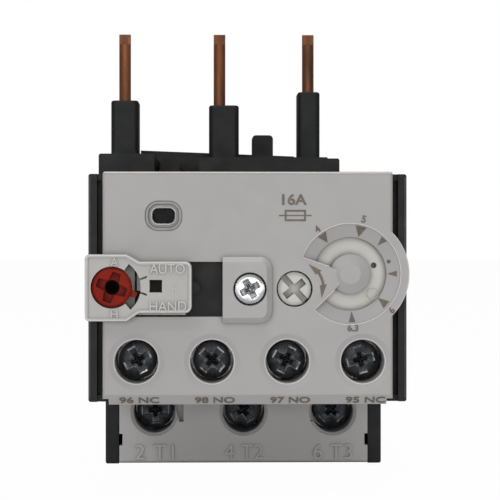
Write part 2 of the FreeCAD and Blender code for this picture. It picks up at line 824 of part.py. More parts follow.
def addCoverPlate(body):
    """The plate with its notched lower corners, the lobe round the dial and the locating skirt."""
    half = "coverWidth / 2"
    addFrontPad(body, "plate", "0", "coverThickness", lambda sketch: drawOutline(sketch, [
        (f"-{half} + cornerStep", "coverLow"), (f"{half} - cornerStep", "coverLow"),
        (f"{half} - cornerStep", "coverLow + cornerStep"), (half, "coverLow + cornerStep"),
        (half, "coverTop"), ("-" + half, "coverTop"),
        ("-" + half, "coverLow + cornerStep"), (f"-{half} + cornerStep", "coverLow + cornerStep")]))
    addFillet(body, "coverCorner", lambda edge: isAlong(edge, 2) and middleOf(edge).y > value("coverTop") - 1e-6)
    addFillet(body, "coverTopEdge",
              lambda edge: middleOf(edge).z > -1e-6 and middleOf(edge).y > value("coverTop") - 1e-6)
    lowEdge = newSketch(body, "lowBevel", "YZ_Plane", f"-{half} - 1")
    drawOutline(lowEdge, [("coverLow + bevelHeight", "0"), ("coverLow + bevelHeight", "1"), ("coverLow - 1", "1"),
                          ("coverLow - 1", "-bevelDepth * (bevelHeight + 1) / bevelHeight")])
    bevel = body.newObject("PartDesign::Pocket", "lowBevelCut")
    bevel.Profile = lowEdge
    bevel.Reversed = True
    bind(bevel, "Length", "coverWidth + 2")
    doc.recompute()
    addFrontPad(body, "lobe", "0", "caseEdgeDepth - fitGap", lambda sketch: drawCircle(
        sketch, "dialX", "dialZ", "collarRadius"))
    skirt, inner = "(coverWidth / 2 - skirtInset)", "(coverWidth / 2 - skirtInset - skirtWall)"
    low, top = "(frontLow + caseWall + fitGap)", "(frontTop - caseWall - fitGap)"
    addFrontPad(body, "skirt", "coverThickness - seatSink", "skirtDepth", lambda sketch: (
        drawRectangle(sketch, "-" + skirt, low, skirt, top),
        drawRectangle(sketch, "-" + inner, low + " + skirtWall", inner, top + " - skirtWall")))


def addTerminalWays(body):
    """Tubes and countersunk holes through which the auxiliary screws are reached."""
    for number in range(4):
        addFrontPad(body, f"auxTube{number}", "coverThickness - seatSink", "auxTubeEnd", lambda sketch: drawCircle(
            sketch, auxX(number), "auxHeight", "auxBore + auxTubeWall"))
    addFrontPocket(body, "auxBores", "0", "auxTubeEnd + 1", lambda sketch: [
        drawCircle(sketch, auxX(number), "auxHeight", "auxBore") for number in range(4)])
    sink = addFrontPocket(body, "auxSinks", "0", "auxSinkDepth", lambda sketch: [
        drawCircle(sketch, auxX(number), "auxHeight", "auxSink") for number in range(4)])
    bind(sink, "TaperAngle", "-atan((auxSink - auxBore) / auxSinkDepth)")
    doc.recompute()


def addDialGroove(body, corners):
    """A recess turned about the dial's axis, all round apart from the bridge; corners are (radius, height)."""
    open_ = f"360 deg - ({wedgeLow} - {wedgeHigh})"
    middle = value(wedgeLow) + value(open_) / 2
    sketch = newSketch(body, "dialProfile", "XZ_Plane", "-dialZ")
    sketch.AttachmentOffset.Rotation = FreeCAD.Rotation(Vector(0, 1, 0), middle)
    bind(sketch, "AttachmentOffset.Base.x", "dialX")
    drawOutline(sketch, corners)
    groove = body.newObject("PartDesign::Groove", "dialGroove")
    groove.Profile = sketch
    groove.ReferenceAxis = (sketch, ["V_Axis"])
    groove.Midplane = True
    groove.Angle = value(open_)
    doc.recompute()


def addDialSeat(body):
    """The marked ring that slopes in to the dial disc, and the bridge with its domed hub."""
    addDialGroove(body, [
        ("ringRadius", "1"), ("ringRadius", "-ringStep"), ("discOpening", "-ringDepth"),
        ("discOpening", "-coverThickness - 1"), ("hubRadius", "-coverThickness - 1"), ("hubRadius", "-hubFall"),
        (hubMeet, "0"), (hubMeet, "1")])
    addFrontPocket(body, "gearRoom", "coverThickness", "skirtDepth + 1", lambda sketch: drawCircle(
        sketch, "dialX", "dialZ", "gearRoomRadius"))
    hub = addFrontPad(body, "hub", "-hubRise", "0", lambda sketch: drawCircle(
        sketch, "dialX", "dialZ", hubMeet))
    bind(hub, "TaperAngle", f"-atan(({hubMeet} - hubTopRadius) / hubRise)")
    doc.recompute()
    addFrontPocket(body, "pivotHole", "coverThickness - pivotLength - fitGap", "coverThickness + 1",
                   lambda sketch: drawCircle(sketch, "dialX", "dialZ", "pivotRadius + runGap"))
    addFrontPocket(body, "adjusterHole", "0", "coverThickness + 1", lambda sketch: drawCircle(
        sketch, "adjusterX", "adjusterZ", "adjusterRadius + adjusterGap"))


def drawScrewBlock(sketch):
    """The raised block's outline: its two right corners are round."""
    drawOutline(sketch, [
        ("windowRight", "blockLow"),
        ("blockRight - blockRound", "blockLow", "blockRight - blockRound", "blockLow + blockRound", 1),
        ("blockRight", "blockLow + blockRound"),
        ("blockRight", "blockTop - blockRound", "blockRight - blockRound", "blockTop - blockRound", 1),
        ("blockRight - blockRound", "blockTop"), ("windowRight", "blockTop")])


def addScrewBlock(body):
    """The raised block of the cover screw, the window beside it and the reset unit's seat."""
    addFrontPad(body, "screwBlock", "-blockRise", "seatSink", drawScrewBlock)
    addFillet(body, "blockBevel", lambda edge: abs(middleOf(edge).z - value("blockRise")) < 1e-6
              and middleOf(edge).x > value("windowRight") + 0.01
              and abs(middleOf(edge).y - value("coverScrewZ")) > 1e-3 or (
                  abs(middleOf(edge).z - value("blockRise")) < 1e-6
                  and abs(middleOf(edge).x - value("blockRight")) < 1e-6), "PartDesign::Chamfer")
    addFrontPocket(body, "screwSeat", "-blockRise", "coverScrewSeat", lambda sketch: drawCircle(
        sketch, "coverScrewX", "coverScrewZ", "coverScrewRadius + fitGap"))
    addFrontPocket(body, "screwWay", "0", "coverThickness + 1", lambda sketch: drawCircle(
        sketch, "coverScrewX", "coverScrewZ", "coverShankRadius + fitGap"))
    addFrontPocket(body, "window", "0", "coverThickness + 1", lambda sketch: drawRectangle(
        sketch, "windowLeft", "windowLow", "windowRight", "windowTop"))
    addFrontPocket(body, "resetSeat", "0", "skirtDepth + 1", lambda sketch: drawCircle(
        sketch, "knobX", "knobZ", "stemRadius + stemWayGap"))


def drawOval(sketch, inset):
    """The trip indicator's opening, a rectangle with round corners, made smaller all round."""
    side, half = f"(tripWidth / 2 - ({inset}))", f"(tripHeight / 2 - ({inset}))"
    corner = f"(tripCorner - ({inset}))"
    left, right = f"tripX - {side}", f"tripX + {side}"
    low, top = f"tripZ - {half}", f"tripZ + {half}"
    innerLeft, innerRight = f"{left} + {corner}", f"{right} - {corner}"
    innerLow, innerTop = f"{low} + {corner}", f"{top} - {corner}"
    drawOutline(sketch, [(innerLeft, low), (innerRight, low, innerRight, innerLow, 1),
                         (right, innerLow), (right, innerTop, innerRight, innerTop, 1),
                         (innerRight, top), (innerLeft, top, innerLeft, innerTop, 1),
                         (left, innerTop), (left, innerLow, innerLeft, innerLow, 1)])


def addTripFunnel(body):
    """The tube in front of the trip indicator."""
    addFrontPad(body, "funnelTube", "coverThickness - seatSink", "funnelEnd",
                lambda sketch: drawOval(sketch, "-funnelWall"))
    addFrontPocket(body, "funnel", "0", "funnelEnd + 1", lambda sketch: drawOval(sketch, "0"))


def makeTripWindow():
    """Smoke-grey insert in the funnel, stepped, with a fine lip round its opening."""
    body = newBody("trip_window")
    lip = "(lensRim + lensStep)"
    addFrontPad(body, "sleeve", "lensFront", "funnelEnd", lambda sketch: drawOval(sketch, "runGap"))
    addFrontPocket(body, "groove", "lensFront", "lensFront + lensGroove", lambda sketch: drawOval(sketch, "lensRim"))
    addFrontPad(body, "lip", "lensLipDepth", "lensFront + lensGroove + seatSink", lambda sketch: drawOval(
        sketch, lip + " - lensLip"))
    addFrontPocket(body, "throat", "lensFront - 1", "funnelEnd + 1", lambda sketch: drawOval(sketch, lip))


def makeFrontCover():
    """Light front cover with every opening of the control face."""
    body = newBody("front_cover")
    addCoverPlate(body)
    addTerminalWays(body)
    addDialSeat(body)
    addScrewBlock(body)
    addTripFunnel(body)


def makeTerminalCover():
    """Light cover over the load terminals, set back under the front box."""
    body = newBody("terminal_cover")
    half, back = "lowerCoverWidth / 2", "lowerFace + lowerCoverThickness"
    top = "(frontLow - fitGap)"
    notchLow, notchTop = "lowerNotchZ - lowerNotchHeight / 2", "lowerNotchZ + lowerNotchHeight / 2"
    addFrontPad(body, "plate", "lowerFace", back, lambda sketch: drawOutline(sketch, [
        ("-" + half, "lowerCoverLow"), (half, "lowerCoverLow"),
        (half, notchLow), (f"{half} - lowerNotchWidth", notchLow),
        (f"{half} - lowerNotchWidth", notchTop), (half, notchTop),
        (half, top), ("-" + half, top),
        ("-" + half, notchTop), (f"-{half} + lowerNotchWidth", notchTop),
        (f"-{half} + lowerNotchWidth", notchLow), ("-" + half, notchLow)]))
    addFillet(body, "0.4", lambda edge: middleOf(edge).y < value("lowerCoverLow") + 1e-6
              and middleOf(edge).z > value("-lowerFace") - 1e-6)
    for phase in range(3):
        addFrontPad(body, f"tube{phase}", "lowerFace + seatSink", "mainTubeEnd", lambda sketch: drawCircle(
            sketch, phaseX(phase), "mainHeight", "mainBore + mainTubeWall"))
    addFrontPocket(body, "bores", "lowerFace", "mainTubeEnd + 1", lambda sketch: [
        drawCircle(sketch, phaseX(phase), "mainHeight", "mainBore") for phase in range(3)])
    addFillet(body, "0.5",
              lambda edge: isRound(edge, "mainBore") and middleOf(edge).z > value("-lowerFace") - 1e-6,
              "PartDesign::Chamfer")
    leftInner = f"{phaseX(0)} + mainBore"
    rightInner = f"{phaseX(2)} - mainBore"
    addFrontPocket(body, "leftGap", "lowerFace", "lowerFace + lowerGapDepth", lambda sketch: drawOutline(sketch, [
        (f"{leftInner} + 0.6", "lowerGapZ"), (f"{leftInner} + 1.3", "lowerGapZ"),
        (f"{leftInner} + 1.3", top + " + 1"), (f"{leftInner} - 1.4", top + " + 1")]))
    addFrontPocket(body, "rightGap", "lowerFace", "lowerFace + lowerGapDepth", lambda sketch: drawRectangle(
        sketch, f"{rightInner} - 0.2", "lowerGapZ", f"{rightInner} + 2.6", top + " + 1"))


# ---------------------------------------------------------------- reset unit
def makeGuidePlate():
    """Black plate behind the window, with a way for the reset stem and a small detent stud."""
    body = newBody("guide_plate")
    front, back = "(coverThickness + fitGap)", "(coverThickness + fitGap + guideThickness)"
    inner = "(coverWidth / 2 - skirtInset - skirtWall)"
    addFrontPad(body, "plate", front, back, lambda sketch: drawRectangle(
        sketch, f"-{inner} + fitGap", "windowLow - 1", "windowRight + 0.9", "windowTop + 1"))
    addFrontPocket(body, "stemWay", front, back + " + 1", lambda sketch: drawCircle(
        sketch, "knobX", "knobZ", "stemRadius + stemWayGap"))
    addFrontPad(body, "stud", "0.3", front, lambda sketch: drawCircle(
        sketch, "bezelRight + 0.2", "knobZ - 0.1", "studRadius"))


def drawBezel(sketch, inset="0"):
    """The reset unit's outline, made smaller all round: a wide head, sloping shoulders and a neck."""
    highShift = f"({inset}) * tan(atan((bezelTop - bezelNarrowTop) / (bezelNeck - bezelShoulder)) / 2)"
    lowShift = f"({inset}) * tan(atan((bezelNarrowLow - bezelLow) / (bezelNeck - bezelShoulder)) / 2)"
    left, right = f"bezelLeft + ({inset})", f"bezelRight - ({inset})"
    low, top = f"bezelLow + ({inset})", f"bezelTop - ({inset})"
    narrowLow, narrowTop = f"bezelNarrowLow + ({inset})", f"bezelNarrowTop - ({inset})"
    corner = "bezelRight - bezelRound"
    lowCentre, highCentre = "bezelNarrowLow + bezelRound", "bezelNarrowTop - bezelRound"
    drawOutline(sketch, [
        (left, low), (f"bezelShoulder - {lowShift}", low), (f"bezelNeck - {lowShift}", narrowLow),
        (corner, narrowLow, corner, lowCentre, 1), (right, lowCentre),
        (right, highCentre, corner, highCentre, 1), (corner, narrowTop),
        (f"bezelNeck - {highShift}", narrowTop), (f"bezelShoulder - {highShift}", top), (left, top)])


def onKnob(radius, angle):
    """A point at a radius and angle about the reset knob."""
    return (f"knobX + ({radius}) * cos({angle})", f"knobZ + ({radius}) * sin({angle})")


def makeResetBezel():
    """Light carrier of the reset knob, with the sector window that its pointer swings in."""
    body = newBody("reset_bezel")
    addFrontPad(body, "head", "-bezelRise", "-runGap", drawBezel)
    addFillet(body, "bezelCorner", lambda edge: isAlong(edge, 2) and middleOf(edge).x < value("bezelLeft") + 0.01)
    addFillet(body, "bezelEdge", lambda edge: middleOf(edge).z > value("bezelRise") - 1e-6)
    tongue = ["windowLeft + tongueGap", "windowLow + tongueGap", "bezelRight - bezelRound", "windowTop - tongueGap"]
    addFrontPad(body, "tongue", "-runGap - seatSink", "coverThickness", lambda sketch: drawRectangle(sketch, *tongue))
    addFrontPocket(body, "knobWay", "-bezelRise", "coverThickness", lambda sketch: drawCircle(
        sketch, "knobX", "knobZ", "knobOpening"))
    addFrontPocket(body, "face", "-bezelRise", "-bezelRise + bezelSink", lambda sketch: drawBezel(sketch, "bezelRim"))
    for name, start, end, back in (("pointerWindow", "-50 deg", "54 deg", "0"),
                                   ("pointerGap", "-50 deg", "-8 deg", "coverThickness + 1")):
        addFrontPocket(body, name, "-bezelRise", back, lambda sketch: drawOutline(sketch, [
            onKnob("knobOpening - 0.3", start), onKnob("pointerWindowRadius", start) + ("knobX", "knobZ", 1),
            onKnob("pointerWindowRadius", end), onKnob("knobOpening - 0.3", end) + ("knobX", "knobZ", -1)]))
    middle = "(knobZ + resetHoleShift)"
    addFrontPocket(body, "resetHole", "-bezelRise", "coverThickness + 1", lambda sketch: drawRectangle(
        sketch, "resetHoleX - resetHoleSize / 2", middle + " - resetHoleSize / 2",
        "resetHoleX + resetHoleSize / 2", middle + " + resetHoleSize / 2"))
    near = "(knobX + pointerWindowRadius - 0.35)"
    far, half = near + " + slitLength", "slitWidth / 2"
    for name, begin, end in (("upperSlit", "knobZ + slitHigh", "knobZ + slitHigh + slitRise"),
                             ("lowerSlit", "knobZ - slitLow", "knobZ - slitLow - slitRise")):
        addFrontPocket(body, name, "-bezelRise", "-bezelRise + slitDepth", lambda sketch: drawOutline(sketch, [
            (near, f"{begin} - {half}"), (far, f"{end} - {half}"),
            (far, f"{end} + {half}"), (near, f"{begin} + {half}")]))


def makeResetStem():
    """Plunger that carries the knob and runs back through the mechanism frame."""
    body = newBody("reset_stem", "knobX", "knobZ")
    addTurned(body, [("0", "stemFront"), ("stemRadius", "stemFront"), ("stemRadius", "-collarDepth"),
                     ("stemCollarRadius", "-collarDepth"), ("stemCollarRadius", "-collarDepth - stemCollarLength"),
                     ("stemRadius", "-collarDepth - stemCollarLength"), ("stemRadius", "-stemBack"),
                     ("0", "-stemBack")])
    socket = newSketch(body, "socket", "XY_Plane", "stemFront")
    drawCircle(socket, "0", "0", "stemSocketRadius")
    addPocket(body, socket, "stemSocketDepth")


knobBack = "(resetTravel + fitGap)"      # height of the knob's back face over the cover


def makeResetKnob():
    """Red knob with a pointer, a driver recess of four lobes and a bore for its stem."""
    body = newBody("reset_knob", "knobX", "knobZ")
    addTurned(body, [("stemRadius + runGap", knobBack), ("knobRadius", knobBack),
                     ("knobRadius", "knobFront - knobEdge"), ("knobRadius - knobEdge", "knobFront"),
                     ("stemRadius + runGap", "knobFront")])
    pointer = newSketch(body, "pointer", "XY_Plane", knobBack)
    reach = "(knobRadius + pointerReach)"
    tip, left, right = "-17 deg", "-30 deg", "-4 deg"
    drawOutline(pointer, [
        (f"(knobRadius - 0.4) * cos({left})", f"(knobRadius - 0.4) * sin({left})"),
        (f"{reach} * cos({tip} - 5 deg)", f"{reach} * sin({tip} - 5 deg)"),
        (f"{reach} * cos({tip} + 5 deg)", f"{reach} * sin({tip} + 5 deg)"),
        (f"(knobRadius - 0.4) * cos({right})", f"(knobRadius - 0.4) * sin({right})")])
    addPad(body, pointer, f"knobFront - {knobBack} - 0.5")
    arm = newSketch(body, "recessArm", "XY_Plane", "knobFront")
    turn = "-20 deg"
    near, far = "armNearWidth / 2", "armFarWidth / 2"
    drawOutline(arm, [
        (f"-({near}) * sin({turn})", f"({near}) * cos({turn})"),
        (f"({near}) * sin({turn})", f"-({near}) * cos({turn})"),
        (f"armReach * cos({turn}) + ({far}) * sin({turn})", f"armReach * sin({turn}) - ({far}) * cos({turn})"),
        (f"armReach * cos({turn}) - ({far}) * sin({turn})", f"armReach * sin({turn}) + ({far}) * cos({turn})")])
    repeatAround(body, addPocket(body, arm, "armDepth"), "4")


def makeCoil(label, x, z, radius, front, back, turns):
    """A flat-wire compression spring along Y between two depths."""
    wire = value("springWire")
    length = value(f"({back}) - ({front})") - 2 * wire
    helix = Part.makeHelix(length / turns, length, value(radius))
    across = value(radius) - wire, value(radius) + wire
    corners = [Vector(across[0], 0, -wire), Vector(across[1], 0, -wire), Vector(across[1], 0, wire),
               Vector(across[0], 0, wire)]
    section = Part.makePolygon(corners + corners[:1])
    coil = Part.Wire(helix).makePipeShell([section], True, True)
    feature = doc.addObject("Part::Feature", label)
    feature.Shape = coil
    turned = FreeCAD.Rotation(Vector(1, 0, 0), -90)
    feature.Placement = FreeCAD.Placement(Vector(value(x), value(f"{front} - {originDepth}") + wire, value(z)),
                                          turned)
    pieces.append(feature)


def makeResetSpring():
    """Return spring between the stem's collar and the mechanism frame."""
    makeCoil("reset_spring", "knobX", "knobZ", "resetSpringRadius",
             "collarDepth + stemCollarLength + springSeat", "frameDepth - springSeat", 5)


# ---------------------------------------------------------------- setting dial
def involute(angle):
    """The involute function of a pressure angle in radians."""
    return math.tan(angle) - angle


def gearFace(teeth, module, backlash, toothAtZero):
    """The outline of a spur gear: involute flanks, root and tip circles."""
    pressure = math.radians(20)
    pitch = module * teeth / 2
    base = pitch * math.cos(pressure)
    root, tip = pitch - 1.2 * module, pitch + 0.9 * module
    halfTooth = math.pi / 2 / teeth - backlash / 2 / pitch
    start = max(base, root)
    flank = []
    for step in range(4):
        radius = start + (tip - start) * step / 3
        spread = halfTooth + involute(pressure) - involute(math.acos(min(1, base / radius)))
        flank.append((radius, spread))
    points = []
    for tooth in range(teeth):
        middle = 2 * math.pi * (tooth + (0 if toothAtZero else 0.5)) / teeth
        rising = [(root, flank[0][1])] + flank
        for radius, spread in rising:
            points.append(Vector(radius * math.cos(middle - spread), radius * math.sin(middle - spread), 0))
        for radius, spread in reversed(rising):
            points.append(Vector(radius * math.cos(middle + spread), radius * math.sin(middle + spread), 0))
    return Part.Face(Part.makePolygon(points + points[:1]))


def gearModule():
    """The module that puts both wheels in mesh at the distance between the dial and its adjuster."""
    across = value("dialX - adjusterX")
    rise = value("dialZ - adjusterZ")
    return 2 * math.hypot(across, rise) / value("gearTeeth + pinionTeeth")


def lineOfCentres():
    """The direction from the adjuster to the dial, in degrees seen from the front."""
    return math.degrees(math.atan2(value("dialZ - adjusterZ"), value("dialX - adjusterX")))


def wheelShape(teethName, toothAtZero, turn):
    """A gear's solid in front axes, its first tooth or gap at an angle in degrees."""
    face = gearFace(int(value(teethName)), gearModule(), value("toothBacklash"), toothAtZero)
    wheel = face.extrude(Vector(0, 0, value("gearThickness")))
    wheel.rotate(Vector(0, 0, 0), Vector(0, 0, 1), turn)
    return wheel


def placedInFront(label, shape, x, z, depth):
    """A shape made in front axes, set at a place as a sub-part."""
    feature = doc.addObject("Part::Feature", label)
    feature.Shape = shape
    feature.Placement = FreeCAD.Placement(Vector(value(x), value(f"{depth} - {originDepth}"), value(z)),
                                          FreeCAD.Rotation(Vector(1, 0, 0), 90))
    pieces.append(feature)


def makeDialDisc():
    """Cream disc with its index hole, pivot pin and the shaft that carries the gear and the cam."""
    body = newBody("dial_disc", "dialX", "dialZ", "discDepth + discThickness")
    addTurned(body, [
        ("0", "discDepth + discThickness - dialShaftEnd"),
        ("dialShaftRadius", "discDepth + discThickness - dialShaftEnd"),
        ("dialShaftRadius", "0"), ("discRadius", "0"), ("discRadius", "discThickness"),
        ("pivotRadius", "discThickness"), ("pivotRadius", "discThickness + pivotLength"),
        ("0", "discThickness + pivotLength")])
    hole = newSketch(body, "indexHole", "XY_Plane", "discThickness")
    drawCircle(hole, "indexOffset * cos(19 deg)", "indexOffset * sin(19 deg)", "indexRadius")
    addPocket(body, hole, "discThickness + 1")


def makeDialGear():
    """Wheel under the dial disc, in mesh with the adjuster's pinion."""
    wheel = wheelShape("gearTeeth", False, lineOfCentres() + 180)
    bore = Part.makeCylinder(value("dialShaftRadius + keyGap"), value("gearThickness"))
    placedInFront("dial_gear", wheel.cut(bore), "dialX", "dialZ", "gearDepth + gearThickness")


def makeSettingCam():
    """Spiral cam on the dial's shaft, which sets how far the trip lever has to travel."""
    steps = 24
    points = []
    for step in range(steps + 1):
        angle = 2 * math.pi * step / steps
        radius = value("camRadius") + value("camRise") * step / steps
        points.append(Vector(radius * math.cos(angle), radius * math.sin(angle), 0))
    face = Part.Face(Part.makePolygon(points + points[:1]))
    cam = face.extrude(Vector(0, 0, value("camThickness")))
    bore = Part.makeCylinder(value("dialShaftRadius + keyGap"), value("camThickness"))
    placedInFront("setting_cam", cam.cut(bore), "dialX", "dialZ", "camDepth + camThickness")


def makeAdjusterScrew():
    """Cream adjuster with two crossed driver slots, its shaft and its pinion in one moulding."""
    turned = [(0, "adjusterEnd"), ("dialShaftRadius", "adjusterEnd"), ("dialShaftRadius", "adjusterDepth + adjusterHead"),
              ("adjusterRadius", "adjusterDepth + adjusterHead"), ("adjusterRadius", "adjusterDepth"),
              (0, "adjusterDepth")]
    points = [Vector(value(radius), 0, -value(depth)) for radius, depth in turned]
    stem = Part.Face(Part.makePolygon(points + points[:1])).revolve(Vector(0, 0, 0), Vector(0, 0, 1), 360)
    pinion = wheelShape("pinionTeeth", True, lineOfCentres())
    pinion.translate(Vector(0, 0, -value("gearDepth + gearThickness")))
    shape = stem.fuse(pinion)
    front, depth = -value("adjusterDepth"), value("slotDepth")
    for turn, length, width in ((-48, 2 * value("adjusterRadius") + 1, value("longSlotWidth")),
                                (38, value("shortSlotLength"), value("shortSlotWidth"))):
        slot = Part.makeBox(length, width, depth + 1, Vector(-length / 2, -width / 2, front - depth))
        slot.rotate(Vector(0, 0, 0), Vector(0, 0, 1), turn)
        shape = shape.cut(slot)
    placedInFront("adjuster_screw", shape.removeSplitter(), "adjusterX", "adjusterZ", "0")


def makeCoverScrew():
    """Bright screw with a lobed cross recess that holds the cover to the mechanism frame."""
    body = newBody("cover_screw", "coverScrewX", "coverScrewZ")
    addTurned(body, [
        ("0", "-coverScrewEnd"), ("coverShankRadius", "-coverScrewEnd"), ("coverShankRadius", "-coverScrewSeat"),
        ("coverScrewRadius", "-coverScrewSeat"), ("coverScrewRadius", "coverScrewHead - 0.4"),
        ("coverScrewRadius - 0.5", "coverScrewHead"), ("0", "coverScrewHead")])
    addCrossRecess(body, "coverScrewHead", "coverScrewRadius * 0.62", "0.75", "1.1")


def addCrossRecess(body, front, reach, width, depth):
    """Two crossed slots in a screw's head."""
    for name, along, across in (("slotAcross", reach, f"{width} / 2"), ("slotUpright", f"{width} / 2", reach)):
        slot = newSketch(body, name, "XY_Plane", front)
        drawRectangle(slot, f"-({along})", f"-({across})", along, across)
        addPocket(body, slot, depth)


def makeMechanismFrame():
    """Inner plate that carries the shafts, the reset stem and the cover screw's boss."""
    body = newBody("mechanism_frame")
    half, back = "(bodyWidth / 2 - caseWall - fitGap)", "frameDepth + frameThickness"
    addFrontPad(body, "plate", "frameDepth", back, lambda sketch: drawRectangle(
        sketch, "-" + half, "frameLow", half, "frameTop"))
    addFrontPad(body, "boss", "bossFront", "frameDepth + seatSink", lambda sketch: drawCircle(
        sketch, "coverScrewX", "coverScrewZ", "bossRadius"))
    holes = (("dialWay", "dialX", "dialZ", "dialShaftRadius + runGap"),
             ("adjusterWay", "adjusterX", "adjusterZ", "dialShaftRadius + runGap"),
             ("stemWay", "knobX", "knobZ", "stemRadius + runGap"),
             ("screwWay", "coverScrewX", "coverScrewZ", "coverShankRadius + runGap"))
    for name, x, z, radius in holes:
        addFrontPocket(body, name, "bossFront - 1", back + " + 1",
                       lambda sketch: drawCircle(sketch, x, z, radius))
    addFrontPocket(body, "flagWay", "frameDepth - 0.5", back + " + 1", lambda sketch: drawRectangle(
        sketch, "tripX - flagWidth / 2 - 0.5", "flagLow - 0.5", "tripX + flagWidth / 2 + 0.5",
        "flagLow + flagHeight + tripTravel + 0.5"))


# ---------------------------------------------------------------- terminals
def makeTerminalScrew(label, kind, x):
    """One terminal screw: a flat head with a cross recess, a shank and a thrust tip."""
    body = newBody(label, x, kind + "Height")
    head, shank = kind + "HeadRadius", kind + "ShankRadius"
    back = f"({kind}HeadDepth + {kind}HeadHeight)"
    addTurned(body, [("0", f"-{kind}RailDepth + runGap"), (shank, f"-{kind}RailDepth + runGap"),
                     (shank, "-" + back), (head, "-" + back), (head, f"-{kind}HeadDepth"),
                     ("0", f"-{kind}HeadDepth")])
    addCrossRecess(body, f"-{kind}HeadDepth", head + " * 0.68", head + " * 0.3", head + " * 0.45")


def makeClampCage(label, kind, x):
    """A rising cage: its threaded front bar runs on the screw and its back bar grips the wire."""
    half, low, top = f"{kind}CageWidth / 2", f"{kind}CageLow", f"{kind}CageTop"
    front = f"({kind}RailDepth - cageGap - {kind}Travel - {kind}CageBar)"
    back = f"({kind}RailDepth + {kind}RailThickness + cageGap + {kind}CageBar)"
    block = newBlock(label + "_block", f"{x} - {half}", f"{x} + {half}", front, back, low, top)
    room = newBlock(label + "_room", f"{x} - {half} + {kind}CageSide", f"{x} + {half} - {kind}CageSide",
                    f"{front} + {kind}CageBar", f"{back} - {kind}CageBar", low + " - 1", top + " + 1")
    thread = newRod(label + "_thread", f"{kind}ShankRadius + threadGap", x, kind + "Height", front + " - 1",
                    f"{front} + {kind}CageBar + 0.1")
    cutFrom(label, block, joined(label + "_space", [room, thread], keep=False))


def makeAuxRail(label, x):
    """Contact rail of one auxiliary terminal: upright at the screw, then back to the contact."""
    upright = newBlock(label + "_upright", f"{x} - auxRailWidth / 2", f"{x} + auxRailWidth / 2",
                       "auxRailDepth", "auxRailDepth + auxRailThickness", "auxRailLow", "contactTop")
    run = newBlock(label + "_run", f"{x} - auxRailWidth / 2", f"{x} + auxRailWidth / 2",
                   "auxRailDepth", "contactBack", "contactTop - contactThickness", "contactTop")
    joined(label, [upright, run])


def makeLoadBar(label, x):
    """Load busbar of one phase: upright at the screw, then back to the foot of its bimetal."""
    left, right = f"{x} - loadBarWidth / 2", f"{x} + loadBarWidth / 2"
    upright = newBlock(label + "_upright", left, right, "mainRailDepth", "mainRailDepth + mainRailThickness",
                       "loadBarLow", "loadBarTop")
    run = newBlock(label + "_run", left, right, "mainRailDepth", "stripBack + 0.6",
                   "loadBarTop - mainRailThickness", "loadBarTop")
    joined(label, [upright, run])


auxNames = ["96", "98", "97", "95"]      # the terminals' numbers from the left


def makeTerminals():
    """Screws, cages and conductors of the four auxiliary and three load terminals."""
    for number, name in enumerate(auxNames):
        makeTerminalScrew(f"aux_screw_{name}", "aux", auxX(number))
        makeClampCage(f"aux_clamp_{name}", "aux", auxX(number))
        makeAuxRail(f"aux_rail_{name}", auxX(number))
    for phase in range(3):
        makeTerminalScrew(f"load_screw_{phase + 1}", "main", phaseX(phase))
        makeClampCage(f"load_clamp_{phase + 1}", "main", phaseX(phase))
        makeLoadBar(f"load_bar_{phase + 1}", phaseX(phase))


# ---------------------------------------------------------------- plug pins
def newPost(name, radius, x, low, high):
    """An upright round post in the row of the plug pins."""
    post = doc.addObject("Part::Cylinder", name)
    bind(post, "Radius", radius)
    bind(post, "Height", f"({high}) - ({low})")
    for axis, text in (("x", x), ("y", f"pinDepth - {originDepth}"), ("z", low)):
        bind(post, "Placement.Base." + axis, text)
    return post


def makePinAndSleeve(side, phase):
    """One plug pin with its lead bar, and the insulating sleeve it stands in."""
    label, pinX = f"plug_pin_{phase + 1}", f"pin{side}X"
    shoulder = f"sleeve{side}Top + pinShoulder"
    rod = newPost(label + "_rod", "pinRadius", pinX, shoulder + " - 0.1", "pinTop")
    root = newPost(label + "_root", "pinRootRadius", pinX, "pinFoot", shoulder)
    facet = newBlock(label + "_facet", pinX + " - pinRadius - 1", pinX + " + pinRadius + 1",
                     "pinDepth - 2 * pinRadius - 1", "pinDepth - facetDepth", "pinTop - pinFacet", "pinTop + 1")
    tipped = cutFrom(label + "_tipped", rod, facet, keep=False)
    left, right = (pinX, phaseX(phase)) if value(pinX) < value(phaseX(phase)) else (phaseX(phase), pinX)
    lead = newBlock(label + "_lead", left + " - 0.6", right + " + leadReach", "pinDepth - leadWidth / 2",
                    "pinDepth + leadWidth / 2", "pinFoot - leadThickness", "pinFoot + 0.1")
    joined(label, [tipped, root, lead])
    sleeve = newUprightBody(f"pin_sleeve_{phase + 1}")
    base = newSketch(sleeve, "base", "XY_Plane", "rearDeckTop")
    middle = f"pin{side}X + sleeve{side}Shift"
    drawRectangle(base, f"{middle} - sleeve{side}Width / 2", "pinDepth - sleeveDepth / 2",
                  f"{middle} + sleeve{side}Width / 2", "pinDepth + sleeveDepth / 2")
    height = f"sleeve{side}Top - rearDeckTop"
    addPad(sleeve, base, height)
    top = value(f"sleeve{side}Top")
    addFillet(sleeve, "sleeveCorner", lambda edge: abs(edge.BoundBox.ZLength - value(height)) < 1e-3)
    addFillet(sleeve, "sleeveTopRound", lambda edge: middleOf(edge).z > top - 1e-6)
    bore = newSketch(sleeve, "bore", "XY_Plane", f"sleeve{side}Top + 1")
    drawCircle(bore, f"pin{side}X", "pinDepth", "pinRootRadius + runGap")
    addPocket(sleeve, bore, height + " + 2")


# ---------------------------------------------------------------- thermal system
def stripX(phase):
    """X of the middle of a phase's bimetal."""
    return f"({phaseX(phase)} - stripShift)"


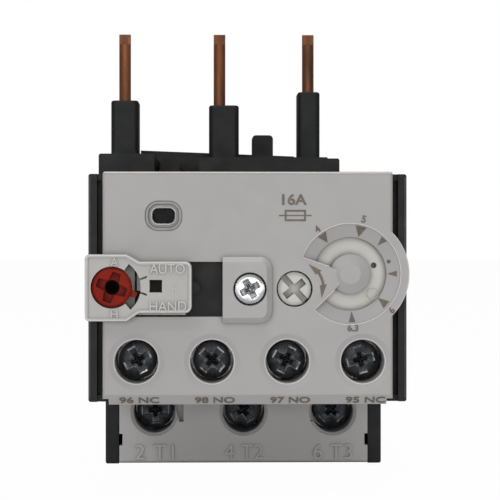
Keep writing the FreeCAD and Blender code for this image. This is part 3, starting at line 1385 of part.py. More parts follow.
def makeBimetal(phase):
    """Bimetal of one phase, standing on its load bar, and the heater wound round it."""
    x = stripX(phase)
    single(f"bimetal_strip_{phase + 1}", newBlock(
        f"bimetal_strip_{phase + 1}", f"{x} - stripThickness / 2", f"{x} + stripThickness / 2",
        "stripFront", "stripBack", "loadBarTop + stripGap", "stripTop"))
    label = f"heater_winding_{phase + 1}"
    outer, inner = "(stripThickness / 2 + heaterGap + heaterWire)", "(stripThickness / 2 + heaterGap)"
    turns = []
    for turn in range(6):
        low = f"heaterLow + {turn} * heaterPitch"
        ring = newBlock(f"{label}_turn{turn}", f"{x} - {outer}", f"{x} + {outer}", "stripFront - heaterGap - heaterWire",
                        "stripBack + heaterGap + heaterWire", low, low + " + heaterPitch / 2")
        turns.append(ring)
    turns.append(newBlock(label + "_spine", f"{x} - {outer}", f"{x} - {inner}", "stripFront + 1.2",
                          "stripFront + 2.2", "heaterLow", "heaterLow + 5.5 * heaterPitch"))
    room = newBlock(label + "_room", f"{x} - {inner}", f"{x} + {inner}", "stripFront - heaterGap",
                    "stripBack + heaterGap", "heaterLow - 1", "heaterLow + 6 * heaterPitch + 1")
    cutFrom(label, joined(label + "_turns", turns, keep=False), room)


def makeSlide(label, front, back, side):
    """A differential slide: a bar across the three phases with a finger at each bimetal's tip."""
    bar = newBlock(label + "_bar", "-slideLength / 2 - 1", "slideLength / 2 - 1", front, back, "slideLow",
                   "slideLow + slideHeight")
    solids = [bar]
    for phase in range(3):
        x = stripX(phase)
        if side > 0:
            left, right = f"{x} + stripThickness / 2 + fingerGap", f"{x} + stripThickness / 2 + fingerGap + 1.2"
            fingerFront, fingerBack = back + " - 0.1", "stripBack - 0.8"
        else:
            left, right = f"{x} - stripThickness / 2 - fingerGap - 1.2", f"{x} - stripThickness / 2 - fingerGap"
            fingerFront, fingerBack = "stripFront + 0.8", front + " + 0.1"
        solids.append(newBlock(f"{label}_finger{phase}", left, right, fingerFront, fingerBack, "slideLow",
                               "slideLow + slideHeight"))
    if side > 0:
        solids.append(newBlock(label + "_driver", "leverX - leverTabHalf - fingerGap - 1.2",
                               "leverX - leverTabHalf - fingerGap", "driverFront", front + " + 0.1",
                               "slideLow", "slideLow + slideHeight"))
    joined(label, solids)


# ---------------------------------------------------------------- trip mechanism
def makeTripLever():
    """Bell crank on a pin: its tall arm is pushed by the slide, its long arm lifts the carrier."""
    hub = newRod("trip_lever_hub", "leverHubRadius", "leverX", "leverZ", "leverFront", "leverBack")
    arm = newBlock("trip_lever_arm", "carrierX - 1", "leverX", "leverFront", "leverBack",
                   "leverZ - armHeight / 2", "leverZ + armHeight / 2")
    bore = newRod("trip_lever_bore", "pivotPinRadius + runGap", "leverX", "leverZ", "leverFront - 1",
                  "leverBack + 1")
    cutFrom("trip_lever", joined("trip_lever_body", [hub, arm], keep=False), bore)
    upright = newBlock("compensating_strip_upright", "leverX - leverTabHalf", "leverX + leverTabHalf",
                       "leverFront + 0.4", "leverBack - 0.4", "leverZ + leverHubRadius", "slideLow + slideHeight")
    tab = newBlock("compensating_strip_tab", "leverX - leverTabHalf", "leverX + leverTabHalf",
                   "leverBack - 0.5", "driverFront + 3", "slideLow", "slideLow + slideHeight")
    joined("compensating_strip", [upright, tab])
    pin = newRod("lever_pivot_pin", "pivotPinRadius", "leverX", "leverZ", "frameDepth + frameThickness",
                 "chamberBack")
    single("lever_pivot_pin", pin)


def makeContactCarrier():
    """Slider that opens one contact bridge and closes the other when it is lifted."""
    left, right = "carrierX - carrierWidth / 2", "carrierX + carrierWidth / 2"
    post = newBlock("contact_carrier_post", left, right, "carrierFront", "carrierBack", "carrierLow", "carrierTop")
    ways = []
    for name, low in (("closed", "contactTop + contactGap"), ("open", "openBridgeLow")):
        ways.append(newBlock(f"contact_carrier_{name}Way", left + " - 1", right + " + 1",
                             "bridgeFront - keyGap", "bridgeBack + keyGap", low + " - keyGap",
                             low + " + bridgeThickness + keyGap"))
    ways.append(newBlock("contact_carrier_armWay", left + " - 1", right + " + 1", "leverFront - 0.3",
                         "leverBack + 0.3", "leverZ - armHeight / 2 - 1.6", "leverZ + armHeight / 2 + fingerGap"))
    cutFrom("contact_carrier", post, joined("contact_carrier_ways", ways, keep=False))
    single("contact_bridge_nc", newBlock("contact_bridge_nc", f"{auxX(0)} - 1.5", f"{auxX(3)} + 1.5", "bridgeFront",
                                         "bridgeBack", "contactTop + contactGap",
                                         "contactTop + contactGap + bridgeThickness"))
    single("contact_bridge_no", newBlock("contact_bridge_no", f"{auxX(1)} - 1.5", f"{auxX(2)} + 1.5", "bridgeFront",
                                         "bridgeBack", "openBridgeLow", "openBridgeLow + bridgeThickness"))
    link = newBlock("trip_indicator_link", "tripX - flagWidth / 2", right, "flagLinkDepth",
                    "flagLinkDepth + flagLinkThickness", "flagLow", "flagLow + flagHeight")
    flag = newBlock("trip_indicator_flag", "tripX - flagWidth / 2", "tripX + flagWidth / 2", "flagFront",
                    "flagLinkDepth + 0.1", "flagLow", "flagLow + flagHeight")
    foot = newBlock("trip_indicator_foot", left, right, "flagLinkDepth", "flagLinkDepth + flagLinkThickness",
                    "carrierTop", "flagLow + 0.1")
    joined("trip_indicator", [link, flag, foot])


def makeInside():
    """Everything between the plug pins and the auxiliary contacts."""
    for phase, side in enumerate(("Left", "Middle", "Right")):
        makePinAndSleeve(side, phase)
    for phase in range(3):
        makeBimetal(phase)
    makeSlide("trip_slide", "slideFront", "slideFront + slideDepth", 1)
    makeSlide("differential_slide", "stripBack + slideSideGap", "stripBack + slideSideGap + slideDepth", -1)
    makeTripLever()
    makeContactCarrier()


makeBaseHousing()
makeRearCover()
makeFrontCover()
makeTripWindow()
makeTerminalCover()
makeGuidePlate()
makeResetBezel()
makeResetKnob()
makeResetStem()
makeResetSpring()
makeDialDisc()
makeDialGear()
makeSettingCam()
makeAdjusterScrew()
makeCoverScrew()
makeMechanismFrame()
makeTerminals()
makeInside()

# ---------------------------------------------------------------- check and write
doc.recompute()
for item in doc.Objects:
    if "Invalid" in item.State or "Error" in item.State:
        raise RuntimeError(f"{item.Label}: {item.State}")
os.makedirs("parts", exist_ok=True)
for piece in pieces:
    if piece.Shape.isNull() or not piece.Shape.isValid():
        raise RuntimeError(piece.Label + " has no valid shape")
    piece.Shape.exportStep(f"parts/{piece.Label}.step")
print(len(pieces), "sub-parts written")
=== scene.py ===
# Thermal overload relay: finishes, lettering, screws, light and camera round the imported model.
import json
import math

import bpy
from mathutils import Matrix, Vector


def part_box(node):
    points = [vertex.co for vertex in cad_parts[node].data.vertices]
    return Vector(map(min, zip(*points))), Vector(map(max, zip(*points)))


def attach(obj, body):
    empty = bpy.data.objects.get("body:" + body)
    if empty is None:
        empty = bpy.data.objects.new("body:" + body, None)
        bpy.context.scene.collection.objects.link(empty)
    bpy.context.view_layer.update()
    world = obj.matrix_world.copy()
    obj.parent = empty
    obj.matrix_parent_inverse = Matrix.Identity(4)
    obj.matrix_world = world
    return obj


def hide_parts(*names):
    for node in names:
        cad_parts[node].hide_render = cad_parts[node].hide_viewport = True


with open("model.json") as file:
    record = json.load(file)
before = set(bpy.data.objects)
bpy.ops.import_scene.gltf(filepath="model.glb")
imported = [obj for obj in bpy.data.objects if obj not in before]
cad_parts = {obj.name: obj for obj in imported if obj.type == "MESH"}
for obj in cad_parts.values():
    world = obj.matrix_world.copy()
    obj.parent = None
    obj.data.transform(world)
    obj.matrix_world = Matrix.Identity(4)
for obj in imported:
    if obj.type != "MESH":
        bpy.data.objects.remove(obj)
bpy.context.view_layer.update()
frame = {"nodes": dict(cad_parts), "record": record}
nodes = frame["nodes"]
slotOf = {part["node"]: part["material_slot"] for part in frame["record"]["subparts"]}
mm = 0.001
print("frame loaded with", len(nodes), "nodes")


def middleOf(node):
    low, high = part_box(node)
    return (Vector(low) + Vector(high)) / 2


def colourOf(text):
    # a hex colour as it should look on screen, turned into scene-linear values
    parts = [int(text[place:place + 2], 16) / 255 for place in (0, 2, 4)]
    linear = [p / 12.92 if p <= 0.04045 else ((p + 0.055) / 1.055) ** 2.4 for p in parts]
    return (*linear, 1.0)


# Materials are built from a few small node helpers
def startMaterial(name):
    made = bpy.data.materials.new(name)
    made.use_nodes = True
    tree = made.node_tree
    tree.nodes.clear()
    shader = tree.nodes.new("ShaderNodeBsdfPrincipled")
    output = tree.nodes.new("ShaderNodeOutputMaterial")
    tree.links.new(shader.outputs["BSDF"], output.inputs["Surface"])
    return made, tree, shader


def addNoise(tree, scale, detail=2.0, stretch=(1, 1, 1)):
    place = tree.nodes.new("ShaderNodeTexCoord")
    mapping = tree.nodes.new("ShaderNodeMapping")
    mapping.inputs["Scale"].default_value = stretch
    noise = tree.nodes.new("ShaderNodeTexNoise")
    noise.inputs["Scale"].default_value = scale
    noise.inputs["Detail"].default_value = detail
    tree.links.new(place.outputs["Object"], mapping.inputs["Vector"])
    tree.links.new(mapping.outputs["Vector"], noise.inputs["Vector"])
    return noise.outputs["Fac"]


def addRange(tree, source, low, high):
    spread = tree.nodes.new("ShaderNodeMapRange")
    spread.inputs["From Min"].default_value = 0.3
    spread.inputs["From Max"].default_value = 0.7
    spread.inputs["To Min"].default_value = low
    spread.inputs["To Max"].default_value = high
    tree.links.new(source, spread.inputs["Value"])
    return spread.outputs["Result"]


def addTones(tree, source, stops):
    ramp = tree.nodes.new("ShaderNodeValToRGB")
    line = ramp.color_ramp
    while len(line.elements) < len(stops):
        line.elements.new(0.5)
    for element, (place, colour) in zip(line.elements, stops):
        element.position = place
        element.color = colour
    tree.links.new(source, ramp.inputs["Fac"])
    return ramp.outputs["Color"]


def addBump(tree, shader, heights):
    # heights: (noise output, depth in mm, strength), the coarse one first
    normal = None
    for source, depth, strength in heights:
        bump = tree.nodes.new("ShaderNodeBump")
        bump.inputs["Strength"].default_value = strength
        bump.inputs["Distance"].default_value = depth * mm
        tree.links.new(source, bump.inputs["Height"])
        if normal is not None:
            tree.links.new(normal, bump.inputs["Normal"])
        normal = bump.outputs["Normal"]
    tree.links.new(normal, shader.inputs["Normal"])


def shaded(colour, factor):
    return (*[min(1.0, part * factor) for part in colour[:3]], 1.0)


def addCreaseShade(tree, source, reach, dark):
    # painted shade: the colour is darkened by ambient occlusion in grooves, slots and corners
    creaseShade = tree.nodes.new("ShaderNodeAmbientOcclusion")
    creaseShade.samples = 6
    creaseShade.inputs["Distance"].default_value = reach * mm
    level = tree.nodes.new("ShaderNodeMapRange")
    level.inputs["From Min"].default_value = 0.25
    level.inputs["From Max"].default_value = 0.95
    level.inputs["To Min"].default_value = dark
    level.inputs["To Max"].default_value = 1.0
    mix = tree.nodes.new("ShaderNodeVectorMath")
    mix.operation = "SCALE"
    tree.links.new(creaseShade.outputs["AO"], level.inputs["Value"])
    tree.links.new(source, mix.inputs[0])
    tree.links.new(level.outputs["Result"], mix.inputs["Scale"])
    return mix.outputs["Vector"]


def makePlastic(name, look):
    # moulded plastic: spark-eroded grain, faint flow shade, and a gloss that changes with handling
    made, tree, shader = startMaterial(name)
    base = colourOf(look["colour"])
    tone = look["tone"]
    flow = addNoise(tree, look.get("flow", 55), 3.0)
    tones = addTones(tree, flow, [(0.3, shaded(base, 1 - tone)), (0.7, shaded(base, 1 + tone))])
    # painted shade in the plastic's creases
    tree.links.new(addCreaseShade(tree, tones, 0.9, look.get("creaseShade", 0.5)), shader.inputs["Base Color"])
    gloss = addNoise(tree, 420, 4.0)
    sheen = addRange(tree, gloss, look["rough"] - 0.06, look["rough"] + 0.06)
    tree.links.new(sheen, shader.inputs["Roughness"])
    addBump(tree, shader, [(addNoise(tree, look["grain"] / 6, 2.0), 0.03, look["bump"]),
                           (addNoise(tree, look["grain"], 2.0), 0.02, look["bump"])])
    shader.inputs["Specular IOR Level"].default_value = look.get("specular", 0.5)
    return made


def makeMetal(name, look):
    # metal: drawn or turned lines, stains and fine scratches
    made, tree, shader = startMaterial(name)
    base, stain = colourOf(look["colour"]), colourOf(look["stain"])
    patches = addNoise(tree, look["patch"], 5.0, look.get("stretch", (1, 1, 1)))
    tree.links.new(addTones(tree, patches, [(0.34, stain), (0.58, base), (0.8, shaded(base, 1.12))]),
                   shader.inputs["Base Color"])
    lines = addNoise(tree, look["lines"], 3.0, look.get("stretch", (1, 1, 1)))
    sheen = addRange(tree, lines, look["rough"] - 0.08, look["rough"] + 0.1)
    tree.links.new(sheen, shader.inputs["Roughness"])
    addBump(tree, shader, [(patches, 0.02, 0.15), (lines, 0.01, look["bump"])])
    shader.inputs["Metallic"].default_value = look["metallic"]
    return made


# What a user would change: one line for each finish
plasticLooks = {
    "light_grey_plastic": {"colour": "AAA8A7", "tone": 0.02, "rough": 0.46, "grain": 5200, "bump": 0.16},
    "white_plastic": {"colour": "B3B0AD", "tone": 0.02, "rough": 0.42, "grain": 4600, "bump": 0.12},
    # painted light: the lower cover's plastic is lighter than the front cover's, to lift it out of the shade
    # under the overhang
    "mid_grey_plastic": {"colour": "BBB9B8", "tone": 0.03, "rough": 0.5, "grain": 5200, "bump": 0.18},
    # painted shade: the cream plastic's slots and the disc by the ring are darkened further
    "cream_plastic": {"colour": "CDCCC5", "tone": 0.025, "rough": 0.38, "grain": 4200, "bump": 0.1,
                      "creaseShade": 0.25},
    "charcoal_plastic": {"colour": "17181A", "tone": 0.1, "rough": 0.5, "grain": 3600, "bump": 0.22,
                         "specular": 0.25},
    "black_plastic": {"colour": "111213", "tone": 0.12, "rough": 0.45, "grain": 3000, "bump": 0.2,
                      "specular": 0.25},
    # painted shadow: near-black, dull plastic for the stem's end in the knob's centre
    "painted_shadow_black": {"colour": "060607", "tone": 0.2, "rough": 0.7, "grain": 3000, "bump": 0.2,
                     "specular": 0.05},
    # painted shade: the smoke plastic is darkened further in its creases
    "smoke_plastic": {"colour": "8A8988", "tone": 0.08, "rough": 0.12, "grain": 3000, "bump": 0.05,
                      "creaseShade": 0.25},
    # painted highlight: a lighter copy of the plastic for raised letters
    "painted_highlight_letter": {"colour": "BFBDBA", "tone": 0.02, "rough": 0.36, "grain": 4600, "bump": 0.1},
    # painted highlight: a light plastic for thin bright edge lines
    "painted_highlight_edge": {"colour": "D2D0CE", "tone": 0.02, "rough": 0.3, "grain": 4600, "bump": 0.1},
    # painted highlight: a grey lighter than the dark case's plastic, for its edge lines
    "painted_highlight_case_edge": {"colour": "4B4D50", "tone": 0.3, "rough": 0.4, "grain": 3000, "bump": 0.2, "flow": 300},
    "window_line": {"colour": "454545", "tone": 0.05, "rough": 0.25, "grain": 3000, "bump": 0.05},
    "gate_mark": {"colour": "AFAEA5", "tone": 0.03, "rough": 0.4, "grain": 4200, "bump": 0.1},
    "red_plastic": {"colour": "841D0F", "tone": 0.12, "rough": 0.55, "grain": 3200, "bump": 0.2, "flow": 500,
                    "specular": 0.12},
}
metalLooks = {
    "bright_steel": {"colour": "C2C3C5", "stain": "A2A3A7", "patch": 500, "lines": 5000, "rough": 0.24,
                     "bump": 0.2, "metallic": 1.0},
    "blued_steel": {"colour": "2E3032", "stain": "17191B", "patch": 800, "lines": 3500, "rough": 0.34,
                    "bump": 0.3, "metallic": 0.75},
    "zinc_steel": {"colour": "B4B6B4", "stain": "83847E", "patch": 500, "lines": 2500, "rough": 0.36,
                   "bump": 0.25, "metallic": 1.0},
    "spring_steel": {"colour": "8E9092", "stain": "4F5052", "patch": 700, "lines": 2600, "rough": 0.3,
                     "bump": 0.25, "metallic": 1.0},
    "bimetal": {"colour": "A39C90", "stain": "6E665A", "patch": 300, "lines": 2600, "rough": 0.34,
                "bump": 0.25, "metallic": 1.0, "stretch": (1, 1, 0.1)},
    "heater_wire": {"colour": "86796C", "stain": "4A3F37", "patch": 600, "lines": 2600, "rough": 0.42,
                    "bump": 0.3, "metallic": 1.0},
    "brass": {"colour": "C9A45A", "stain": "8C6A30", "patch": 400, "lines": 2600, "rough": 0.3,
              "bump": 0.25, "metallic": 1.0},
    # painted highlight: bright steel for the lit rim round the terminal screws' recesses; shaded_steel is its
    # painted-shade copy
    "painted_highlight_steel": {"colour": "E4E7EA", "stain": "5A5E63", "patch": 1500, "lines": 3500, "rough": 0.35,
                   "bump": 0.3, "metallic": 0.6},
    "shaded_steel": {"colour": "96989A", "stain": "66686B", "patch": 1100, "lines": 3500, "rough": 0.42,
                     "bump": 0.3, "metallic": 0.8},
    "copper": {"colour": "87512F", "stain": "4F3122", "patch": 420, "lines": 2400, "rough": 0.5,
               "bump": 0.5, "metallic": 0.55, "stretch": (1, 1, 0.12)},
}
finishes = {name: makePlastic(name, look) for name, look in plasticLooks.items()}
finishes.update({name: makeMetal(name, look) for name, look in metalLooks.items()})
paintedShadowParts = {"reset_stem": "painted_shadow_black"}       # painted shadow: its end is coloured near black so the middle of the knob looks deep in shade
for node, thing in nodes.items():
    for place in thing.material_slots:
        place.material = finishes[paintedShadowParts.get(node, slotOf[node])]
print("finishes made:", len(finishes))


def makeInk(name, colour):
    # pad-printed ink, slightly uneven and a little glossier than the plastic
    made, tree, shader = startMaterial(name)
    cover = addNoise(tree, 1800, 4.0)
    base = colourOf(colour)
    tones = addTones(tree, cover, [(0.25, shaded(base, 1.35)), (0.55, base), (0.85, shaded(base, 0.85))])
    tree.links.new(tones, shader.inputs["Base Color"])
    tree.links.new(addRange(tree, cover, 0.4, 0.55), shader.inputs["Roughness"])
    addBump(tree, shader, [(addNoise(tree, 4200, 2.0), 0.01, 0.2)])
    return made


finishes["taupe_ink"] = makeInk("taupe_ink", "675D52")


def makePane(name, look):
    # painted shade: a thin near-black pane, most of the light lost in it, darkens the trip window's throat
    # and hides what lies behind; a smear shows on its face
    made, tree, shader = startMaterial(name)
    output = [node for node in tree.nodes if node.type == "OUTPUT_MATERIAL"][0]
    clear = tree.nodes.new("ShaderNodeBsdfTransparent")
    shadeTint = addTones(tree, addNoise(tree, 900, 3.0), [(0.3, shaded(look["shadeTint"], 0.8)), (0.7, look["shadeTint"])])
    tree.links.new(shadeTint, clear.inputs["Color"])
    shader.inputs["Base Color"].default_value = look["body"]
    tree.links.new(addRange(tree, addNoise(tree, 1500, 3.0), 0.12, 0.3), shader.inputs["Roughness"])
    addBump(tree, shader, [(addNoise(tree, 700, 2.0), 0.02, 0.1)])
    mix = tree.nodes.new("ShaderNodeMixShader")
    mix.inputs["Fac"].default_value = look["share"]
    tree.links.new(clear.outputs["BSDF"], mix.inputs[1])
    tree.links.new(shader.outputs["BSDF"], mix.inputs[2])
    tree.links.new(mix.outputs["Shader"], output.inputs["Surface"])
    return made


# painted shade for the trip window's throat
finishes["painted_shade_pane"] = makePane("painted_shade_pane", {"shadeTint": (0.03, 0.03, 0.032, 1),
                                                 "body": (0.004, 0.004, 0.005, 1), "share": 0.12})


# Mesh helpers. Pieces on the front are drawn in a front frame: x to the right, z up, and the third value
# is how far it stands out of the cover's plane, all in mm.
screwBlock = 1.2                    # the cover's screw block stands this far out of its plane
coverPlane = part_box("front_cover")[0][1] + screwBlock * mm


def frontPoint(x, z, out):
    return Vector((x * mm, coverPlane - out * mm, z * mm))


def addPiece(name, points, faces, finish, body, sharp=30, edging=None):
    # edging: a second finish and the numbers of the faces that have it
    mesh = bpy.data.meshes.new(name)
    mesh.from_pydata(points, [], faces)
    mesh.shade_smooth()
    mesh.set_sharp_from_angle(angle=math.radians(sharp))
    mesh.materials.append(finishes[finish])
    if edging:
        mesh.materials.append(finishes[edging[0]])
        for number in edging[1]:
            mesh.polygons[number].material_index = 1
    piece = bpy.data.objects.new(name, mesh)
    bpy.context.scene.collection.objects.link(piece)
    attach(piece, body)
    return piece


# Screws: each head is turned in rings round its axis, and its cross recess has a star-shaped outline
def crossAngles(look):
    tip = math.atan(look["arm"] / 2 / look["reach"])
    root = math.asin(min(0.99, look["arm"] / 2 / look["waist"]))
    quarter = math.pi / 4
    side = [-quarter, -quarter * 0.86, -(quarter + root) / 2, -root, -(root + tip) / 2, -tip, -tip / 2]
    arm = side + [0.0] + [-angle for angle in reversed(side[1:])]
    return [turn * math.pi / 2 + angle for turn in range(4) for angle in arm]


def crossRadius(angle, look):
    near = (angle + math.pi / 4) % (math.pi / 2) - math.pi / 4
    flank = look["arm"] / 2 / max(abs(math.sin(near)), 1e-6)
    return min(look["reach"] / math.cos(near), max(flank, look["waist"]))


def makeScrew(name, node, body, look, finish):
    # rings run from the middle of the recess over the head to the shank's tip:
    # (scale or radius, depth, kind)
    low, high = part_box(node)
    middle = (Vector(low) + Vector(high)) / 2
    front, length = low[1], (high[1] - low[1]) / mm
    head = (high[0] - low[0]) / 2 / mm
    angles = crossAngles(look)
    deep, edge = look["deep"], look["edge"]
    shelf = deep * 0.42
    rings = [(0.16, deep, "cross"), (0.3, deep * 0.9, "petal"), (0.46, shelf + 0.12, "petal"),
             (0.54, shelf, "cross"), (0.86, shelf * 0.9, "cross"), (0.93, 0.06, "cross"), (1.0, 0.0, "cross"),
             (head - edge * 1.5, look["dome"], "round"), (head - edge, look["dome"] + 0.04, "round"),
             (head - edge * 0.3, look["dome"] + edge * 0.3, "round"), (head, look["dome"] + edge, "round"),
             (head, look["headHeight"], "round"), (look["shank"], look["headHeight"], "round")]
    depth = look["headHeight"] + look["pitch"]
    while depth < length - look["pitch"] * 1.5:
        rings += [(look["shank"] - 0.25, depth, "round"), (look["shank"], depth + look["pitch"] / 2, "round")]
        depth += look["pitch"]
    rings += [(look["shank"] - 0.3, length - 0.05, "round"), (look["shank"] - 0.6, length, "round")]
    turn = math.radians(look["turn"])
    points = [Vector((middle.x, front + (deep + 0.1) * mm, middle.z))]
    for size, depth, kind in rings:
        for angle in angles:
            reach = size if kind == "round" else size * crossRadius(angle, look)
            sunk = depth - 0.22 * deep * (1 + math.cos(4 * angle + math.pi)) / 2 if kind == "petal" else depth
            points.append(Vector((middle.x + math.cos(angle + turn) * reach * mm, front + sunk * mm,
                                  middle.z + math.sin(angle + turn) * reach * mm)))
    points.append(Vector((middle.x, front + length * mm, middle.z)))
    count = len(angles)
    faces = [(0, 1 + step, 1 + (step + 1) % count) for step in range(count)]
    for ring in range(len(rings) - 1):
        near, far = 1 + ring * count, 1 + (ring + 1) * count
        for step in range(count):
            beside = (step + 1) % count
            faces.append((near + step, far + step, far + beside, near + beside))
    last = 1 + (len(rings) - 1) * count
    faces += [(len(points) - 1, last + (step + 1) % count, last + step) for step in range(count)]
    # faces of the listed rings take the painted-light finish: a highlight on the terminal screws, shade on
    # the others
    paintedRings = [number for ring in look["paintedRings"] for number in range(count * (ring + 1), count * (ring + 2))]
    piece = addPiece(name, points, faces, finish, body, 26, (look["paintedRingFinish"], paintedRings))
    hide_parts(node)
    return piece


# painted highlight: the two rings round the recess's rim take a bright steel
terminalScrew = {"reach": 1.98, "arm": 1.2, "waist": 1.05, "deep": 0.8, "edge": 0.22, "dome": 0.04,
                 "headHeight": 2.4, "shank": 1.75, "pitch": 0.6, "paintedRings": [4, 5],
                 "paintedRingFinish": "painted_highlight_steel"}
for name, turn in (("96", 28), ("98", 49), ("97", 63), ("95", 14)):
    makeScrew(f"aux_screw_head_{name}", f"aux_screw_{name}", f"aux_screw_{name}",
              {**terminalScrew, "turn": turn}, "blued_steel")
# painted shade: on the load screws these rings take the shaded steel
loadScrew = {**terminalScrew, "reach": 2.2, "arm": 1.45, "waist": 1.15, "deep": 0.9, "headHeight": 2.8,
             "shank": 2.0, "pitch": 0.7, "paintedRingFinish": "shaded_steel"}
for number, turn in ((1, 2), (2, 33), (3, 45)):
    makeScrew(f"load_screw_head_{number}", f"load_screw_{number}", f"load_screw_{number}",
              {**loadScrew, "turn": turn}, "blued_steel")
# painted shade: the cover screw's whole recess takes the shaded steel
coverScrew = {"reach": 1.42, "arm": 0.95, "waist": 0.82, "deep": 0.75, "edge": 0.42, "dome": -0.02,
              "turn": 28, "headHeight": 1.5, "shank": 1.25, "pitch": 0.5, "paintedRings": [0, 1, 2, 3, 4],
              "paintedRingFinish": "shaded_steel"}
makeScrew("cover_screw_head", "cover_screw", "case", coverScrew, "bright_steel")
print("screws made: 8")


# Lettering and printed marks
def addLettering(name, text, look, finish, body="case"):
    # look: place (x, z, out) of its middle in the front frame and height, and if wanted width, turn,
    # lean, rise, weight and spacing
    curve = bpy.data.curves.new(name, "FONT")
    curve.body = text
    curve.size = 1.0
    curve.offset = look.get("weight", 0.0)
    curve.space_character = look.get("spacing", 1.0)
    curve.resolution_u = 6
    curve.extrude = 0.5
    drawn = bpy.data.objects.new(name, curve)
    bpy.context.scene.collection.objects.link(drawn)
    bpy.context.view_layer.update()
    mesh = bpy.data.meshes.new_from_object(drawn.evaluated_get(bpy.context.evaluated_depsgraph_get()))
    bpy.data.objects.remove(drawn)
    low = [min(v.co[axis] for v in mesh.vertices) for axis in range(2)]
    high = [max(v.co[axis] for v in mesh.vertices) for axis in range(2)]
    tall = look["height"] / (high[1] - low[1])
    wide = look["width"] / (high[0] - low[0]) if "width" in look else tall
    centre = Matrix.Translation((-(low[0] + high[0]) / 2, -(low[1] + high[1]) / 2, 0))
    size = Matrix.Diagonal((wide * mm, tall * mm, look.get("rise", 0.05) * mm, 1))
    stand = Matrix.Rotation(math.radians(90), 4, "X")
    turn = Matrix.Rotation(math.radians(-look.get("turn", 0)), 4, "Y")
    lean = Matrix.Rotation(math.radians(look.get("lean", 0)), 4, "X")
    place = Matrix.Translation(frontPoint(*look["place"]))
    mesh.transform(place @ lean @ turn @ stand @ size @ centre)
    mesh.name = name
    mesh.materials.clear()
    mesh.materials.append(finishes[finish])
    piece = bpy.data.objects.new(name, mesh)
    bpy.context.scene.collection.objects.link(piece)
    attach(piece, body)
    return piece


def addPrint(name, outlines, out, finish, body="case", rise=0.04):
    # flat shapes with a little thickness; each outline is a list of (x, z) in mm, and out(x, z) gives
    # how far they stand out
    points, faces = [], []
    for outline in outlines:
        start, count = len(points), len(outline)
        points += [frontPoint(x, z, out(x, z)) for x, z in outline]
        points += [frontPoint(x, z, out(x, z) - rise) for x, z in outline]
        faces.append(tuple(range(start, start + count)))
        faces.append(tuple(range(start + 2 * count - 1, start + count - 1, -1)))
        for step in range(count):
            beside = (step + 1) % count
            faces.append((start + step, start + count + step, start + count + beside, start + beside))
    return addPiece(name, points, faces, finish, body)


def addBead(name, path, look, finish, body="case", closed=False):
    # a fine ridge along a path of (x, z, out) points; look: width and height in mm
    half, count = look["width"] / 2, len(path)
    points, faces = [], []
    for number, (x, z, out) in enumerate(path):
        before = path[number - 1] if number or closed else path[0]
        after = path[(number + 1) % count] if number + 1 < count or closed else path[-1]
        along = Vector((after[0] - before[0], after[1] - before[1])).normalized()
        for side, rise in ((-1, -0.06), (-0.5, look["height"]), (0.5, look["height"]), (1, -0.06)):
            points.append(frontPoint(x - along.y * half * side, z + along.x * half * side, out + rise))
    for number in range(count if closed else count - 1):
        here, there = number * 4, (number + 1) % count * 4
        for edge in range(4):
            beside = (edge + 1) % 4
            faces.append((here + edge, here + beside, there + beside, there + edge))
    if not closed:
        faces += [(3, 2, 1, 0), tuple(range(count * 4 - 4, count * 4))]
    return addPiece(name, points, faces, finish, body)


def around(centre, radius, angle):
    turned = math.radians(angle)
    return (centre[0] + radius * math.cos(turned), centre[1] + radius * math.sin(turned))


dialMiddle = middleOf("dial_gear") / mm
dial = (dialMiddle.x, dialMiddle.z)
adjusterMiddle = middleOf("adjuster_screw") / mm
adjuster = (adjusterMiddle.x, adjusterMiddle.z)
# the ring slopes in from its foot to the mouth, the disc's window
ring = {"foot": 7.15, "step": 0.12, "mouth": 5.2, "depth": 0.75, "ink": 0.03}


def onCover(x, z):
    return ring["ink"]


def onRing(x, z):
    inward = (ring["foot"] - math.hypot(x - dial[0], z - dial[1])) / (ring["foot"] - ring["mouth"])
    return ring["ink"] - ring["step"] - (ring["depth"] - ring["step"]) * inward


dialNumbers = [("4", 126.5, 7.85, 36, 1.0), ("5", 76.2, 7.95, -14, 1.05), ("6", -41.3, 7.75, 49, 1.0),
               ("6.3", -87.3, 7.6, 0, 1.02)]
for text, angle, radius, turn, height in dialNumbers:
    x, z = around(dial, radius, angle)
    addLettering("dial_number_" + text, text, {"place": (x, z, 0.02), "height": height, "turn": turn,
                                               "weight": 0.03}, "taupe_ink")
dialMarks = [(125.6, 5.4, 6.9, 1.4), (77, 5.35, 6.9, 1.6), (45.8, 5.6, 6.9, 0.95), (0.3, 5.3, 6.6, 0.85),
             (-40.4, 5.25, 6.75, 1.3), (-87.7, 5.3, 6.8, 0.92)]
triangles = []
for angle, tip, foot, width in dialMarks:
    half = math.degrees(width / 2 / foot)
    triangles.append([around(dial, tip, angle), around(dial, foot, angle - half),
                      around(dial, foot, angle + half)])
addPrint("dial_marks", triangles, onRing, "taupe_ink")
dotMiddle = around(dial, 5.74, 17.7)
addPrint("dial_dot", [[around(dotMiddle, 0.27, step * 20) for step in range(18)]], onRing, "taupe_ink")

